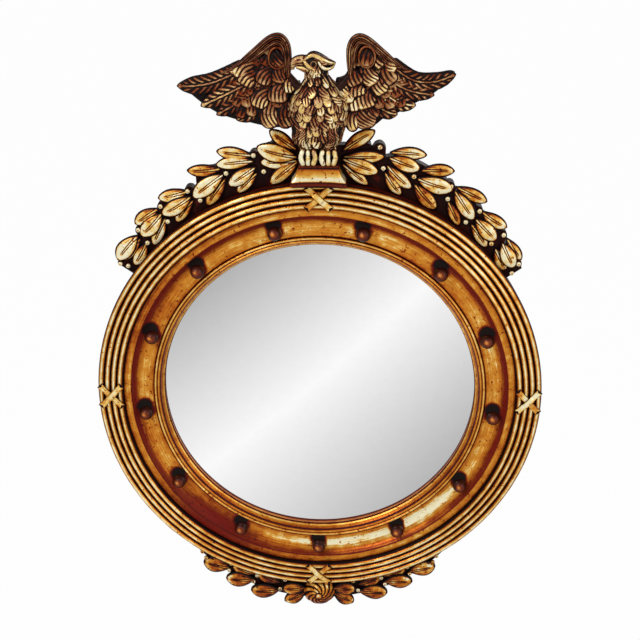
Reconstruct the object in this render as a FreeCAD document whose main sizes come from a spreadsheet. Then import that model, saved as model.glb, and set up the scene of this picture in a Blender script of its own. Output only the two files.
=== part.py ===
import FreeCAD, Part
import math
import operator
import os
import Sketcher
from FreeCAD import Placement, Rotation, Vector

# Girandole mirror: a round gilt frame with a convex glass, an eagle on a plinth with laurel sprays
# above, and a leafy apron with a swirl rosette below. It hangs on a wall.
# Frame: origin on the ring's axis in the wall plane, +X to the viewer's right, +Y into the wall,
# +Z up. "Stand" is a distance out from the wall, so it is minus Y.

SIZES = {
    # the round frame, from its outer edge inwards
    "ring_radius": 300,         # outer edge of the reeded ring
    "reed_count": 4,
    "reed_width": 8.4,          # from groove to groove
    "reed_rise": 3.6,           # crest of a reed above its grooves
    "reed_height": 19,          # grooves above the core ring's face
    "edge_height": 3,           # straight edge outside the outermost reed
    "side_inset": 1.5,          # side wall inside that edge
    "bevel_width": 4.5,
    "bevel_height": 6,
    "ring_back": 14,            # stand of the back faces of the reeded ring and of both boards
    "skirt_step": 4.1,          # the reeded ring's skirt reaches further in than its reeds
    "core_stand": 30,           # face of the core ring, which carries the mouldings
    "joint_gap": 0.3,           # glue line between round faces
    "band_width": 10.1,         # plain band between the reeds and the hollow
    "band_rise": 15,            # band above the core ring's face
    "cove_side": 17,            # width of the hollow's steep side
    "cove_depth": 9.3,          # floor of the hollow below the band
    "cove_shelf": 12.5,         # width of the hollow's shallow side
    "shelf_rise": 1,            # how much the shallow side rises
    "slip_seat": 6.2,           # width of the beaded slip's seat on the core ring
    "bead_width": 4.4,
    "bead_rise": 1.9,
    "bead_height": 7.6,         # foot of the outer bead above the core ring's face
    "bead_step": 0.9,           # the inner bead's foot lies this much lower
    "sight_width": 4.9,         # hollow between the inner bead and the sight edge
    "sight_hollow": 1.4,        # depth of that hollow
    "sight_lip": 1.35,          # thickness of the sight edge
    "slip_drop": 2.35,          # the slip reaches this far into the core ring's bore
    # glass and what closes the back
    "glass_round": 900,         # radius of the glass's front sphere
    "glass_thick": 4,
    "glass_room": 1,            # between the glass's rim and the core ring's bore
    "glass_gap": 0.3,
    "block_count": 12,
    "block_angle": 6.5,
    "block_width": 14,
    "block_height": 11.3,
    "rebate_width": 13,         # the backboard laps the core ring by this much
    "back_thick": 4,
    "back_gap": 1,              # around the backboard in its rebate
    "back_screw_inset": 6,
    "back_screw_count": 8,
    # balls in the hollow
    "ball_radius": 9.5,
    "ball_count": 13,
    "peg_radius": 3,
    "peg_gap": 0.1,
    # crossed ribbon ties
    "tie_inset": 18,            # middle of a tie inside the ring's edge
    "tie_width": 8,
    "tie_half": 22,             # half the length of a strap
    "tie_thick": 1.8,
    "tie_lap": 0.8,             # the upper strap stays raised this far past the lower one
    "tie_bend": 4,              # length of the upper strap's slope
    "tie_turn": 43,             # angle of a strap to the ring's tangent, in degrees
    # crest
    "board_thick": 20,
    "board_end": 55,            # degrees from the top
    "board_tail": 22,           # width of the board at its ends
    "board_bulge": 31.5,        # its outer edge stands this far off a straight line
    "saddle_half": 46,          # half width of the board's saddle behind the plinth
    "saddle_height": 52,
    "tongue_half": 20,          # half width of the board's tongue behind the eagle
    "tongue_height": 95,
    "plinth_height": 27,
    "plinth_foot": 71,
    "plinth_top": 49,
    "plinth_depth": 29,
    "plinth_flare": 4,          # how much its foot stands out in front of its top
    "plinth_cap": 5,            # height of the straight edge at its top and foot
    "plinth_hollow": 2,         # depth of the hollow in its sides
    "foot_height": 23,
    "foot_gap": 2.4,            # between the two feet
    "toe_width": 6.6,
    "toe_gap": 1.4,
    "toe_reach": 12.5,          # knuckle in front of the leg's middle
    "knuckle_height": 9,
    "claw_reach": 1.5,          # claw in front of the knuckle
    "claw_length": 6.5,
    "arch_height": 4,           # hollow under the toe
    "arch_width": 3,
    "sole_length": 2,
    "toe_bulge": 1.7,
    "body_height": 88,
    "body_radius": 27,
    "chest_height": 53,         # where the body is widest, above the thighs' foot
    "breast_bulge": 2.3,
    "belly_bulge": 3.8,
    "thigh_radius": 19,
    "neck_radius": 14,
    "body_out": 19,             # upright axis through the eagle in front of the board
    "head_length": 51.8,        # from the beak to the crest feather's tip
    "head_thick": 11,
    "skull_radius": 13.2,
    "wing_span": 341,
    "wing_out": 8,              # back of the wings in front of the board
    "wing_thick": 9,
    "shoulder_thick": 5,
    "dowel_radius": 3,
    "dowel_depth": 12,          # length of a dowel in each piece that it joins
    "back_dowel_height": 31,    # above the thighs' foot
    "wing_dowel_height": 54.5,
    "end_room": 1,              # past the end of a dowel or screw
    "spray_rise": 49,           # highest root of the crest's leaves above the ring's edge
    "spray_margin": 0.6,        # degrees from the crest board's end to the last berry
    "leaf_length": 55,          # longest leaf, which sets the others
    "leaf_thick": 10,           # full leaf of each cluster
    "leaf_low": 6.8,            # its other leaves
    "leaf_edge": 3.5,
    "berry_radius": 4,
    "stem_radius": 2.8,
    # apron
    "apron_end": 35,            # degrees from the bottom
    "apron_tail": 9,            # width of the board at its ends
    "apron_depth": 35.4,        # board below the ring's edge
    "apron_spray_rise": 27,     # root of the apron's leaves furthest from the ring's edge
    "apron_spray_margin": 1.6,  # degrees from the apron board's end to the last berry
    "rosette_radius": 23.5,
    "rosette_lap": 0.5,         # the rosette reaches this far over the ring's edge
    "rosette_rise": 17,
    "rosette_edge": 6,          # height of its upright rim
    # cleats and screws at the back
    "cleat_thick": 6,
    "cleat_lap": 25,            # both cleats over the ring
    "crest_cleat_rise": 20,     # over the crest board
    "crest_cleat_end": 38,      # degrees from the top
    "apron_cleat_rise": 15,
    "apron_cleat_end": 20,      # degrees from the bottom
    "cleat_screw_end": 4,       # degrees from a cleat's end to its last screws
    "cleat_screw_in": 16,       # screws into the ring, inside its edge
    "cleat_screw_out": 8,       # screws into the boards, outside its edge
    "screw_radius": 1.75,
    "screw_length": 16,
    "screw_head": 3.6,
    "screw_gap": 0.1,
    # hangers
    "hanger_angle": 47.67,      # degrees from the top to each D-ring's pivot
    "hanger_inset": 11.9,       # pivot inside the ring's edge
    "strap_width": 13,
    "strap_end": 6,             # strap below its screw
    "wire_radius": 1.5,
    "loop_wall": 1.2,           # the strap is a strip of this thickness, folded
    "loop_gap": 0.1,
    "ring_inside": 18,          # clear width of the D-ring
    "ring_leg": 3,              # straight part of each leg
    "ring_corner": 3,
    "hanger_screw_room": 0.4,   # between the D-ring's end and the screw's head
}

# Laurel sprays: for each cluster its angle from the top, then for each leaf the height of its root
# above the ring's edge, its turn outwards from the tangent, its length and its width. The sizes
# stretch each table as a whole.
LEFT_SPRAY = [
    (4.5, [(40, 41, 44, 14), (32, 18, 54, 19), (27, 2, 49, 15), (27, -35, 48, 15)]),
    (14.0, [(42, 21, 47, 14), (35, 8, 50, 14), (28, -20, 43, 16), (20, -31, 38, 13)]),
    (21.3, [(38, 18, 45, 13), (31, -16, 51, 18), (25, -34, 45, 15)]),
    (30.3, [(30, 17, 41, 14), (23, -1, 46, 17), (17, -21, 39, 13)]),
    (38.3, [(33, 5, 38, 15), (26, -8, 42, 18), (18, -26, 42, 14)]),
    (46.2, [(25, -3, 44, 18), (20, -5, 40, 14), (11, -14, 36, 14)]),
]
RIGHT_SPRAY = [
    (4.9, [(40, 38, 49, 15), (33, 6, 55, 14), (31, -15, 50, 16), (25, -34, 45, 12)]),
    (14.7, [(49, 11, 47, 13), (43, -5, 43, 16), (33, -28, 45, 14), (24, -39, 38, 12)]),
    (22.0, [(39, 22, 44, 14), (29, 6, 49, 18), (21, -26, 44, 16)]),
    (30.5, [(41, 5, 45, 14), (37, -25, 47, 16), (21, -33, 38, 12)]),
    (38.3, [(34, 6, 40, 14), (22, -7, 40, 17), (13, -17, 39, 13)]),
    (46.8, [(31, -8, 36, 12), (23, -16, 38, 17), (11, -17, 34, 14)]),
]
# Berries: angle from the top and height above the ring's edge.
LEFT_BERRIES = [(12.6, 20), (13.9, 43), (20.8, 31), (29.0, 13), (30.4, 31), (37.5, 34), (38.5, 13),
                (45.1, 30), (45.9, 10), (53.7, 10), (54.4, 20)]
RIGHT_BERRIES = [(12.5, 53), (14.3, 28), (21.3, 30), (29.5, 39), (30.4, 23), (37.1, 11), (37.9, 33),
                 (45.3, 12), (45.7, 31), (53.4, 22), (54.4, 8)]
# The apron's spray, the same on both sides: angles are from the bottom.
APRON_SPRAY = [
    (3.6, [(17, 4, 34, 15), (27, 30, 34, 15)]),
    (10.3, [(16, -17, 38, 14), (27, 10, 42, 17)]),
    (17.3, [(10, -8, 38, 14), (18, 14, 42, 17)]),
    (24.6, [(5, -9, 38, 14), (13, 8, 40, 17)]),
]
APRON_BERRIES = [(9.3, 7), (10.2, 24), (17.0, 10), (17.4, 22), (24.8, 5), (24.6, 17), (31.6, 14),
                 (33.4, 8)]

# Wings and head are free outlines: points across from the middle, and above the body's foot for the
# wings or the neck joint for the head.
LEFT_WING = [(-36, 102), (-36, 122), (-41, 133), (-49, 136.5), (-62, 132), (-98, 103), (-125, 89),
             (-155, 85), (-174, 73), (-158, 60), (-142, 47), (-124, 36), (-104, 29), (-86, 25),
             (-68, 21), (-50, 19), (-32, 21), (-12, 24), (-12, 78), (-27, 81), (-34, 88)]
RIGHT_WING = [(36, 102), (35, 122), (40, 133), (50, 136.5), (62, 131.5), (92, 108), (118, 93),
              (142, 92), (160, 94.5), (167, 89), (155, 75), (140, 62), (118, 50), (97, 38),
              (84, 34), (70, 23), (52, 19), (30, 20), (10, 24), (10, 80), (27, 86), (35, 90)]
LEFT_SHOULDER = [(-39, 90), (-39, 122), (-49, 133), (-60, 129), (-84, 100), (-90, 72), (-80, 48),
                 (-66, 30), (-44, 30), (-39, 50)]
RIGHT_SHOULDER = [(39, 90), (38, 122), (49, 133), (60, 129), (84, 100), (90, 74), (78, 50),
                  (66, 32), (44, 30), (39, 50)]
HEAD = [(-12, 25.5), (-7, 27), (0, 24.5), (8, 19), (18, 18.5), (15, 12), (8, 8), (-4, 3), (-14, 8),
        (-22, 12.5), (-28, 13.5), (-31, 9), (-33.8, 14), (-32, 20), (-25, 23.5), (-18, 23.5)]

doc = FreeCAD.newDocument("girandole_mirror")
sheet = doc.addObject("Spreadsheet::Sheet", "sizes")
sub_parts = []


class Size:
    # A length with its value and the sheet rule that it comes from.
    def __init__(self, value, rule):
        self.value = float(value)
        self.rule = rule

    def __float__(self):
        return self.value

    def __neg__(self):
        return combine(0, operator.sub, self)

    def __add__(self, other):
        return combine(self, operator.add, other)

    def __radd__(self, other):
        return combine(other, operator.add, self)

    def __sub__(self, other):
        return combine(self, operator.sub, other)

    def __rsub__(self, other):
        return combine(other, operator.sub, self)

    def __mul__(self, other):
        return combine(self, operator.mul, other)

    def __rmul__(self, other):
        return combine(other, operator.mul, self)

    def __truediv__(self, other):
        return combine(self, operator.truediv, other)

    def __rtruediv__(self, other):
        return combine(other, operator.truediv, self)


SIGNS = {operator.add: "+", operator.sub: "-", operator.mul: "*", operator.truediv: "/"}


def rule_of(size):
    return size.rule if isinstance(size, Size) else repr(float(size))


def combine(first, work, second):
    value = work(float(first), float(second))
    return Size(value, f"({rule_of(first)} {SIGNS[work]} {rule_of(second)})")


def root(size):
    return Size(math.sqrt(float(size)), f"sqrt({size.rule})")


def sine(angle):
    return Size(math.sin(math.radians(float(angle))), f"sin({rule_of(angle)})")


def cosine(angle):
    return Size(math.cos(math.radians(float(angle))), f"cos({rule_of(angle)})")


def bind(thing, name, size):
    thing.setExpression(name, rule_of(size))


class Sheet:
    # Every size of the sheet as an attribute.
    def __init__(self):
        for row, (name, value) in enumerate(SIZES.items(), 1):
            sheet.set(f"A{row}", name)
            sheet.set(f"B{row}", str(value))
            sheet.setAlias(f"B{row}", name)
            setattr(self, name, Size(value, f"sizes.{name}"))


size = Sheet()
doc.recompute()

# Radii of the round frame, inwards from its edge.
reed_edge = size.ring_radius - size.reed_count * size.reed_width
skirt_radius = reed_edge - size.skirt_step
core_radius = skirt_radius - size.joint_gap
cove_edge = reed_edge - size.joint_gap - size.band_width
cove_floor = cove_edge - size.cove_side
cove_end = cove_floor - size.cove_shelf
slip_radius = cove_end - size.joint_gap
core_bore = slip_radius - size.slip_seat
bead_middle = slip_radius - size.bead_width
bead_end = bead_middle - size.bead_width
sight_radius = bead_end - size.sight_width
glass_radius = core_bore - size.glass_room
back_radius = core_bore + size.rebate_width
back_screw_circle = back_radius - size.back_screw_inset
board_edge = size.ring_radius + size.joint_gap      # inner edge of both boards

# Stands, outwards from the wall.
groove_stand = size.core_stand + size.reed_height
band_stand = size.core_stand + size.band_rise
floor_stand = band_stand - size.cove_depth
glass_seat = size.core_stand - size.slip_drop
board_front = size.ring_back + size.board_thick
cleat_back = size.ring_back - size.cleat_thick
body_stand = board_front + size.body_out
wing_back = board_front + size.wing_out
wing_dowel_stand = wing_back + size.wing_thick / 2
strap_face = size.ring_back - 2 * size.loop_wall
pivot_stand = size.ring_back - size.wire_radius - size.loop_gap - size.loop_wall

# Heights above the mirror's axis.
saddle_top = size.ring_radius + size.saddle_height
plinth_top = size.ring_radius + size.plinth_height
body_base = plinth_top + size.foot_height
neck_joint = body_base + size.body_height
back_dowel_up = body_base + size.back_dowel_height
wing_dowel_up = body_base + size.wing_dowel_height
rosette_up = size.rosette_lap - size.ring_radius - size.rosette_radius

# Widths across.
toe_pitch = size.toe_width + size.toe_gap
foot_half = toe_pitch + size.toe_width / 2
foot_across = foot_half + size.foot_gap / 2
wing_dowel_reach = size.body_radius + size.dowel_depth

# The D-rings and their straps.
ring_reach = size.ring_leg + size.ring_corner + size.ring_inside / 2 + size.wire_radius
screw_drop = ring_reach + size.wire_radius + size.hanger_screw_room + size.screw_head
strap_length = screw_drop + size.strap_end

# Holes: a screw's and a dowel's, each with room around it.
screw_hole = size.screw_radius + size.screw_gap
head_hole = size.screw_head + size.screw_gap
dowel_hole = size.dowel_radius + size.peg_gap
dowel_bore = size.dowel_depth + size.end_room

SPARE = 1                       # how far a cut runs past the piece


# ---- shared steps ----

def new_body(name):
    body = doc.addObject("PartDesign::Body", name)
    body.Label = name
    body.AllowCompound = True
    sub_parts.append(body)
    return body


def new_sketch(body, role, name, across=0, up=0, out=0):
    # FRONT sketches have X across and Z up, and their normal points out from the wall.
    sketch = body.newObject("Sketcher::SketchObject", f"{body.Name}_{name}")
    plane = next(item for item in body.Origin.OriginFeatures if item.Role == role)
    sketch.AttachmentSupport = [(plane, "")]
    sketch.MapMode = "FlatFace"
    for letter, offset in zip("xyz", (across, up, out)):
        bind(sketch, f"AttachmentOffset.Base.{letter}", offset)
    return sketch


PLAN = "XY_Plane"
FRONT = "XZ_Plane"
SIDE = "YZ_Plane"


def pin_point(sketch, edge, end, corner):
    for kind, value in zip(("DistanceX", "DistanceY"), corner):
        number = sketch.addConstraint(Sketcher.Constraint(kind, -1, 1, edge, end, float(value)))
        bind(sketch, f"Constraints[{number}]", value)


def arc_between(start, end, radius):
    # A positive radius bulges to the left of the way from start to end, a negative one to the
    # right.
    half = (end - start) * 0.5
    left = Vector(-half.y, half.x, 0).normalize()
    reach = math.sqrt(max(radius * radius - half.Length ** 2, 0))
    middle = start + half - left * math.copysign(reach, radius)
    circle = Part.Circle(middle, Vector(0, 0, 1), abs(radius))
    first, last = (end, start) if radius > 0 else (start, end)
    return Part.ArcOfCircle(circle, circle.parameter(first), circle.parameter(last))


def draw(sketch, corners, rounds=None):
    # A closed outline whose corners, and the radii of its round edges, follow the sheet.
    points = [Vector(float(across), float(up), 0) for across, up in corners]
    rounds = rounds or {}
    ends = []
    for number, start in enumerate(points):
        end = points[(number + 1) % len(points)]
        radius = rounds.get(number)
        if radius is None:
            sketch.addGeometry(Part.LineSegment(start, end))
        else:
            sketch.addGeometry(arc_between(start, end, float(radius)))
        ends.append((2, 1) if radius is not None and float(radius) > 0 else (1, 2))
    for number, corner in enumerate(corners):
        before = number - 1 if number else len(points) - 1
        sketch.addConstraint(Sketcher.Constraint("Coincident", before, ends[before][1],
                                                 number, ends[number][0]))
        pin_point(sketch, number, ends[number][0], corner)
    for number, radius in rounds.items():
        length = radius if float(radius) > 0 else -radius
        place = sketch.addConstraint(Sketcher.Constraint("Radius", number, float(length)))
        bind(sketch, f"Constraints[{place}]", length)
    return sketch


def draw_circle(sketch, across, up, radius):
    number = sketch.addGeometry(Part.Circle(Vector(float(across), float(up), 0), Vector(0, 0, 1),
                                            float(radius)))
    pin_point(sketch, number, 3, (across, up))
    place = sketch.addConstraint(Sketcher.Constraint("Radius", number, float(radius)))
    bind(sketch, f"Constraints[{place}]", radius)


def draw_freely(sketch, points, scale):
    # A smooth closed outline through points chosen by eye.
    curve = Part.BSplineCurve()
    curve.interpolate([Vector(across, up, 0) * float(scale) for across, up in points],
                      PeriodicFlag=True)
    sketch.addGeometry(curve)
    return sketch


def feature(body, kind, sketch, **settings):
    item = body.newObject(f"PartDesign::{kind}", f"{sketch.Name}_{kind}")
    item.Profile = sketch
    for name, value in settings.items():
        if isinstance(value, Size):
            bind(item, name, value)
        else:
            setattr(item, name, value)
    sketch.Visibility = False
    return item


def pad(body, sketch, length, **settings):
    return feature(body, "Pad", sketch, Length=length, **settings)


def spin(body, sketch, kind="Revolution", angle=360):
    item = feature(body, kind, sketch, Angle=angle)
    item.ReferenceAxis = (sketch, ["V_Axis"])
    return item


def cut_holes(body, sketch, depth, **settings):
    # The hole is checked: a pocket that points the wrong way takes nothing away.
    doc.recompute()
    before = body.Shape.Volume
    item = feature(body, "Pocket", sketch, Length=depth, **settings)
    doc.recompute()
    if not body.Shape.Volume < before - 0.01:
        raise RuntimeError(f"{sketch.Name} cuts nothing")
    return item


def repeat_around(body, items, sketch, count, axis):
    pattern = body.newObject("PartDesign::PolarPattern", f"{body.Name}_pattern{len(body.Group)}")
    pattern.Originals = items
    pattern.Axis = (sketch, [axis])
    pattern.Angle = 360
    bind(pattern, "Occurrences", count)
    body.Tip = pattern
    return pattern


def spun_ring(name, corners, rounds=None):
    # A ring about the mirror's axis: corners are radius and stand.
    body = new_body(name)
    flat = [(radius, -stand) for radius, stand in corners]
    sketch = draw(new_sketch(body, PLAN, "section"), flat, rounds)
    spin(body, sketch)
    return body


def add_shape(name, shape):
    item = doc.addObject("Part::Feature", name)
    item.Label = name
    item.Shape = shape
    item.Placement = Placement()
    sub_parts.append(item)
    return item


def on_circle(radius, angle):
    # Angle in degrees from the top, clockwise as seen from the front.
    return radius * sine(angle), radius * cosine(angle)


def rise_radius(rise, width):
    # Radius of an arc whose middle rises this much over this width.
    return width * width / (8 * rise) + rise / 2


def level_radius(rise, width):
    # Radius of an arc that starts level and rises this much over this width.
    return (width * width + rise * rise) / (2 * rise)


def bulged(corners, edge, rise):
    # Radius of this edge of an outline when its middle stands this far off its ends' line.
    start, end = corners[edge], corners[(edge + 1) % len(corners)]
    across, up = end[0] - start[0], end[1] - start[1]
    return (across * across + up * up) / (8 * rise) + rise / 2


# ---- the round frame ----

def make_core_ring():
    rebate = back_radius + size.back_gap
    body = spun_ring("core_ring", [
        (core_bore, size.core_stand), (core_radius, size.core_stand), (core_radius, 0),
        (rebate, 0), (rebate, size.back_thick), (core_bore, size.back_thick)])
    pilot = new_sketch(body, FRONT, "pilot", out=size.back_thick)
    draw_circle(pilot, 0, back_screw_circle, screw_hole)
    depth = size.screw_length - size.back_thick + size.end_room
    hole = cut_holes(body, pilot, depth, Reversed=True)
    repeat_around(body, [hole], pilot, size.back_screw_count, "N_Axis")


def make_reeded_ring():
    # Reeds run round the front. The ring's skirt reaches back over the core ring.
    corners = []
    rounds = {}
    for reed in range(SIZES["reed_count"]):
        corners.append((reed_edge + reed * size.reed_width, groove_stand))
        rounds[reed] = -rise_radius(size.reed_rise, size.reed_width)
    side = size.ring_radius - size.side_inset
    edge = groove_stand - size.edge_height
    corners += [(size.ring_radius, groove_stand), (size.ring_radius, edge),
                (side, edge - size.side_inset), (side, size.ring_back + size.bevel_height),
                (side - size.bevel_width, size.ring_back), (skirt_radius, size.ring_back),
                (skirt_radius, size.core_stand), (reed_edge, size.core_stand)]
    body = spun_ring("reeded_ring", corners, rounds)
    pilots = new_sketch(body, FRONT, "pilots", out=size.ring_back)
    for angle in cleat_angles(size.crest_cleat_end, 0) + cleat_angles(size.apron_cleat_end, 180):
        across, up = on_circle(size.ring_radius - size.cleat_screw_in, angle)
        draw_circle(pilots, across, up, screw_hole)
    for way in (-1, 1):
        across, up = hanger_place(way)
        draw_circle(pilots, across, up - screw_drop, screw_hole)
    cut_holes(body, pilots, size.screw_length + size.end_room, Reversed=True)


def make_cavetto_ring():
    # A plain band and a hollow that is level at its floor.
    outer = reed_edge - size.joint_gap
    body = spun_ring("cavetto_ring", [
        (cove_end, size.core_stand), (cove_end, floor_stand + size.shelf_rise),
        (cove_floor, floor_stand), (cove_edge, band_stand), (outer, band_stand),
        (outer, size.core_stand)],
        {1: level_radius(size.shelf_rise, size.cove_shelf),
         2: level_radius(size.cove_depth, size.cove_side)})
    socket = new_sketch(body, FRONT, "socket", out=size.core_stand)
    draw_circle(socket, 0, -cove_floor, size.peg_radius + size.peg_gap)
    hole = cut_holes(body, socket, size.band_rise, Reversed=True)
    repeat_around(body, [hole], socket, size.ball_count, "N_Axis")


def make_sight_slip():
    # Two beads and a small hollow down to the sight edge. Its lip reaches inside the core ring.
    high = size.core_stand + size.bead_height
    low = high - size.bead_step
    lip = core_bore - size.joint_gap
    bead = rise_radius(size.bead_rise, size.bead_width)
    corners = [(sight_radius, glass_seat), (sight_radius, glass_seat + size.sight_lip),
               (bead_end, low), (bead_middle, low), (bead_middle, high), (slip_radius, high),
               (slip_radius, size.core_stand), (lip, size.core_stand), (lip, glass_seat)]
    spun_ring("sight_slip", corners, {1: bulged(corners, 1, size.sight_hollow), 2: -bead, 4: -bead})


# ---- glass and back ----

def glass_apex():
    # The glass touches the slip, but for its gap, round the sight edge.
    drop = size.glass_round - root(size.glass_round * size.glass_round
                                   - sight_radius * sight_radius)
    return glass_seat - size.glass_gap + drop


def glass_stand(radius):
    # Stand of the glass's front face at this radius.
    return glass_apex() - size.glass_round + root(size.glass_round * size.glass_round
                                                  - radius * radius)


def glass_back_stand():
    # Stand of the glass's back face at its rim.
    inside = size.glass_round - size.glass_thick
    return glass_apex() - size.glass_round + root(inside * inside - glass_radius * glass_radius)


def make_glass():
    spun_ring("convex_glass", [
        (0, glass_apex()), (glass_radius, glass_stand(glass_radius)),
        (glass_radius, glass_back_stand()), (0, glass_apex() - size.glass_thick)],
        {0: -size.glass_round, 2: size.glass_round - size.glass_thick})


def make_glazing_blocks():
    # Glue blocks in the core ring's bore press the glass forward against the slip.
    body = new_body("glazing_blocks")
    outer = core_bore - size.joint_gap
    front = glass_back_stand() - size.glass_gap
    section = draw(new_sketch(body, PLAN, "section"), [
        (outer - size.block_width, -front), (outer, -front), (outer, size.block_height - front)])
    block = spin(body, section, angle=size.block_angle)
    repeat_around(body, [block], section, size.block_count, "V_Axis")


def make_backboard():
    # A plywood disc with a countersunk hole for each of its screws.
    body = new_body("backboard")
    disc = new_sketch(body, FRONT, "disc")
    draw_circle(disc, 0, 0, back_radius)
    pad(body, disc, size.back_thick)
    hole = new_sketch(body, PLAN, "hole", out=back_screw_circle)
    past = -size.back_thick - size.screw_gap
    draw(hole, [(0, size.screw_gap), (head_hole, size.screw_gap), (head_hole, 0),
                (screw_hole, screw_hole - head_hole), (screw_hole, past), (0, past)])
    doc.recompute()
    groove = spin(body, hole, "Groove")
    repeat_around(body, [groove], disc, size.back_screw_count, "N_Axis")


def screw_shape():
    # Countersunk wood screw whose head is flush at the origin and which points out from the wall.
    head = float(size.screw_head)
    shank = float(size.screw_radius)
    length = float(size.screw_length)
    points = [(0, 0), (head, 0), (shank, -(head - shank)), (shank, -length + shank), (0, -length)]
    wire = Part.makePolygon([Vector(radius, depth, 0) for radius, depth in points + points[:1]])
    return Part.Face(wire).revolve(Vector(), Vector(0, 1, 0), 360)


def screws_at(name, places, stand):
    screw = screw_shape()
    copies = []
    for across, up in places:
        copies.append(screw.translated(Vector(float(across), -float(stand), float(up))))
    add_shape(name, Part.makeCompound(copies))


def make_backboard_screws():
    count = SIZES["back_screw_count"]
    places = [on_circle(back_screw_circle, 360 * number / count) for number in range(count)]
    screws_at("backboard_screws", places, 0)


# ---- balls and ribbon ties ----

def make_ball(number):
    # A turned ball whose peg is glued into the hollow. Ball 1 is at the bottom.
    body = new_body(f"ball_{number:02d}")
    peg_end = size.core_stand + size.joint_gap
    middle = floor_stand + size.joint_gap + size.ball_radius
    shoulder = root(size.ball_radius * size.ball_radius - size.peg_radius * size.peg_radius)
    section = draw(new_sketch(body, PLAN, "section"), [
        (0, -peg_end), (0, -middle - size.ball_radius), (size.ball_radius, -middle),
        (size.peg_radius, -middle + shoulder), (size.peg_radius, -peg_end)],
        {1: -size.ball_radius, 2: -size.ball_radius})
    spin(body, section)
    across, up = on_circle(cove_floor, 180 + 360 * (number - 1) / size.ball_count)
    bind(body, "Placement.Base.x", across)
    bind(body, "Placement.Base.z", up)


def make_tie(name, angle):
    # Two crossed straps on the reeds. The second strap bends over the first.
    body = new_body(name)
    base = groove_stand + size.reed_rise + size.joint_gap
    half = size.tie_half
    top = base + size.tie_thick
    under = new_sketch(body, PLAN, "under")
    draw(under, [(-half, -base), (-half, -top), (half, -top), (half, -base)])
    over = new_sketch(body, PLAN, "over")
    near = size.tie_width / 2 + size.tie_lap
    far = near + size.tie_bend
    peak = top + size.tie_thick
    draw(over, [(-half, -base), (-half, -top), (-far, -top), (-near, -peak), (near, -peak),
                (far, -top), (half, -top), (half, -base)])
    for sketch, way in ((under, 1), (over, -1)):
        sketch.AttachmentOffset = Placement(Vector(), Rotation(Vector(0, 1, 0), 0))
        bind(sketch, "AttachmentOffset.Rotation.Axis.y", -way)
        bind(sketch, "AttachmentOffset.Rotation.Angle", size.tie_turn)
        pad(body, sketch, size.tie_width, Midplane=True)
    body.Placement = Placement(Vector(), Rotation(Vector(0, 1, 0), angle))
    across, up = on_circle(size.ring_radius - size.tie_inset, angle)
    bind(body, "Placement.Base.x", across)
    bind(body, "Placement.Base.z", up)


# ---- crest ----

def make_crest_board():
    # A sawn arc on top of the ring, with a saddle behind the plinth and a tongue behind the eagle.
    body = new_body("crest_board")
    tip = size.ring_radius + size.tongue_height
    half = [(size.tongue_half, tip), (size.tongue_half, saddle_top), (size.saddle_half, saddle_top),
            on_circle(size.ring_radius + size.board_tail, size.board_end),
            on_circle(board_edge, size.board_end)]
    corners = [(-across, up) for across, up in reversed(half)] + half
    outline = new_sketch(body, FRONT, "outline", out=size.ring_back)
    bow = bulged(corners, 1, size.board_bulge)
    draw(outline, corners, {1: bow, 7: bow, 9: -board_edge})
    pad(body, outline, size.board_thick)
    cut_board_pilots(body, size.crest_cleat_end, 0)
    dowel = new_sketch(body, FRONT, "dowel", out=board_front)
    draw_circle(dowel, 0, back_dowel_up, dowel_hole)
    cut_holes(body, dowel, dowel_bore)


def cut_board_pilots(body, end, middle):
    pilots = new_sketch(body, FRONT, "pilots", out=size.ring_back)
    for angle in cleat_angles(end, middle):
        across, up = on_circle(size.ring_radius + size.cleat_screw_out, angle)
        draw_circle(pilots, across, up, screw_hole)
    depth = size.screw_length - size.cleat_thick + size.end_room
    cut_holes(body, pilots, depth, Reversed=True)


def plinth_outline(sketch, spare):
    # The foot is coped to the ring, and the sides are hollow between two straight edges.
    foot = size.plinth_foot / 2 + spare
    top = size.plinth_top / 2 + spare
    inner = board_edge - spare
    heel = root(inner * inner - foot * foot)
    crown = plinth_top + spare
    low = size.ring_radius + size.plinth_cap
    high = crown - size.plinth_cap
    corners = [(-foot, heel), (-foot, low), (-top, high), (-top, crown), (top, crown),
               (top, high), (foot, low), (foot, heel)]
    hollow = -bulged(corners, 1, size.plinth_hollow)
    draw(sketch, corners, {1: hollow, 5: hollow, 7: -inner})


def make_plinth():
    body = new_body("plinth")
    front = new_sketch(body, FRONT, "front", out=board_front)
    plinth_outline(front, 0)
    pad(body, front, size.plinth_depth)
    hollow = new_sketch(body, SIDE, "hollow")
    edge = board_front + size.plinth_depth
    low = size.ring_radius + size.plinth_cap
    set_back = size.plinth_flare - edge
    past = plinth_top + SPARE
    corners = [(-edge - SPARE, low), (-edge, low), (set_back, plinth_top - size.plinth_cap),
               (set_back, past), (-edge - SPARE, past)]
    draw(hollow, corners, {1: bulged(corners, 1, size.plinth_hollow)})
    cut_holes(body, hollow, size.plinth_foot * 2, Midplane=True)
    legs = new_sketch(body, PLAN, "legs", out=plinth_top)
    for way in (-1, 1):
        draw_circle(legs, way * foot_across, -body_stand, dowel_hole)
    cut_holes(body, legs, dowel_bore)


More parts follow.
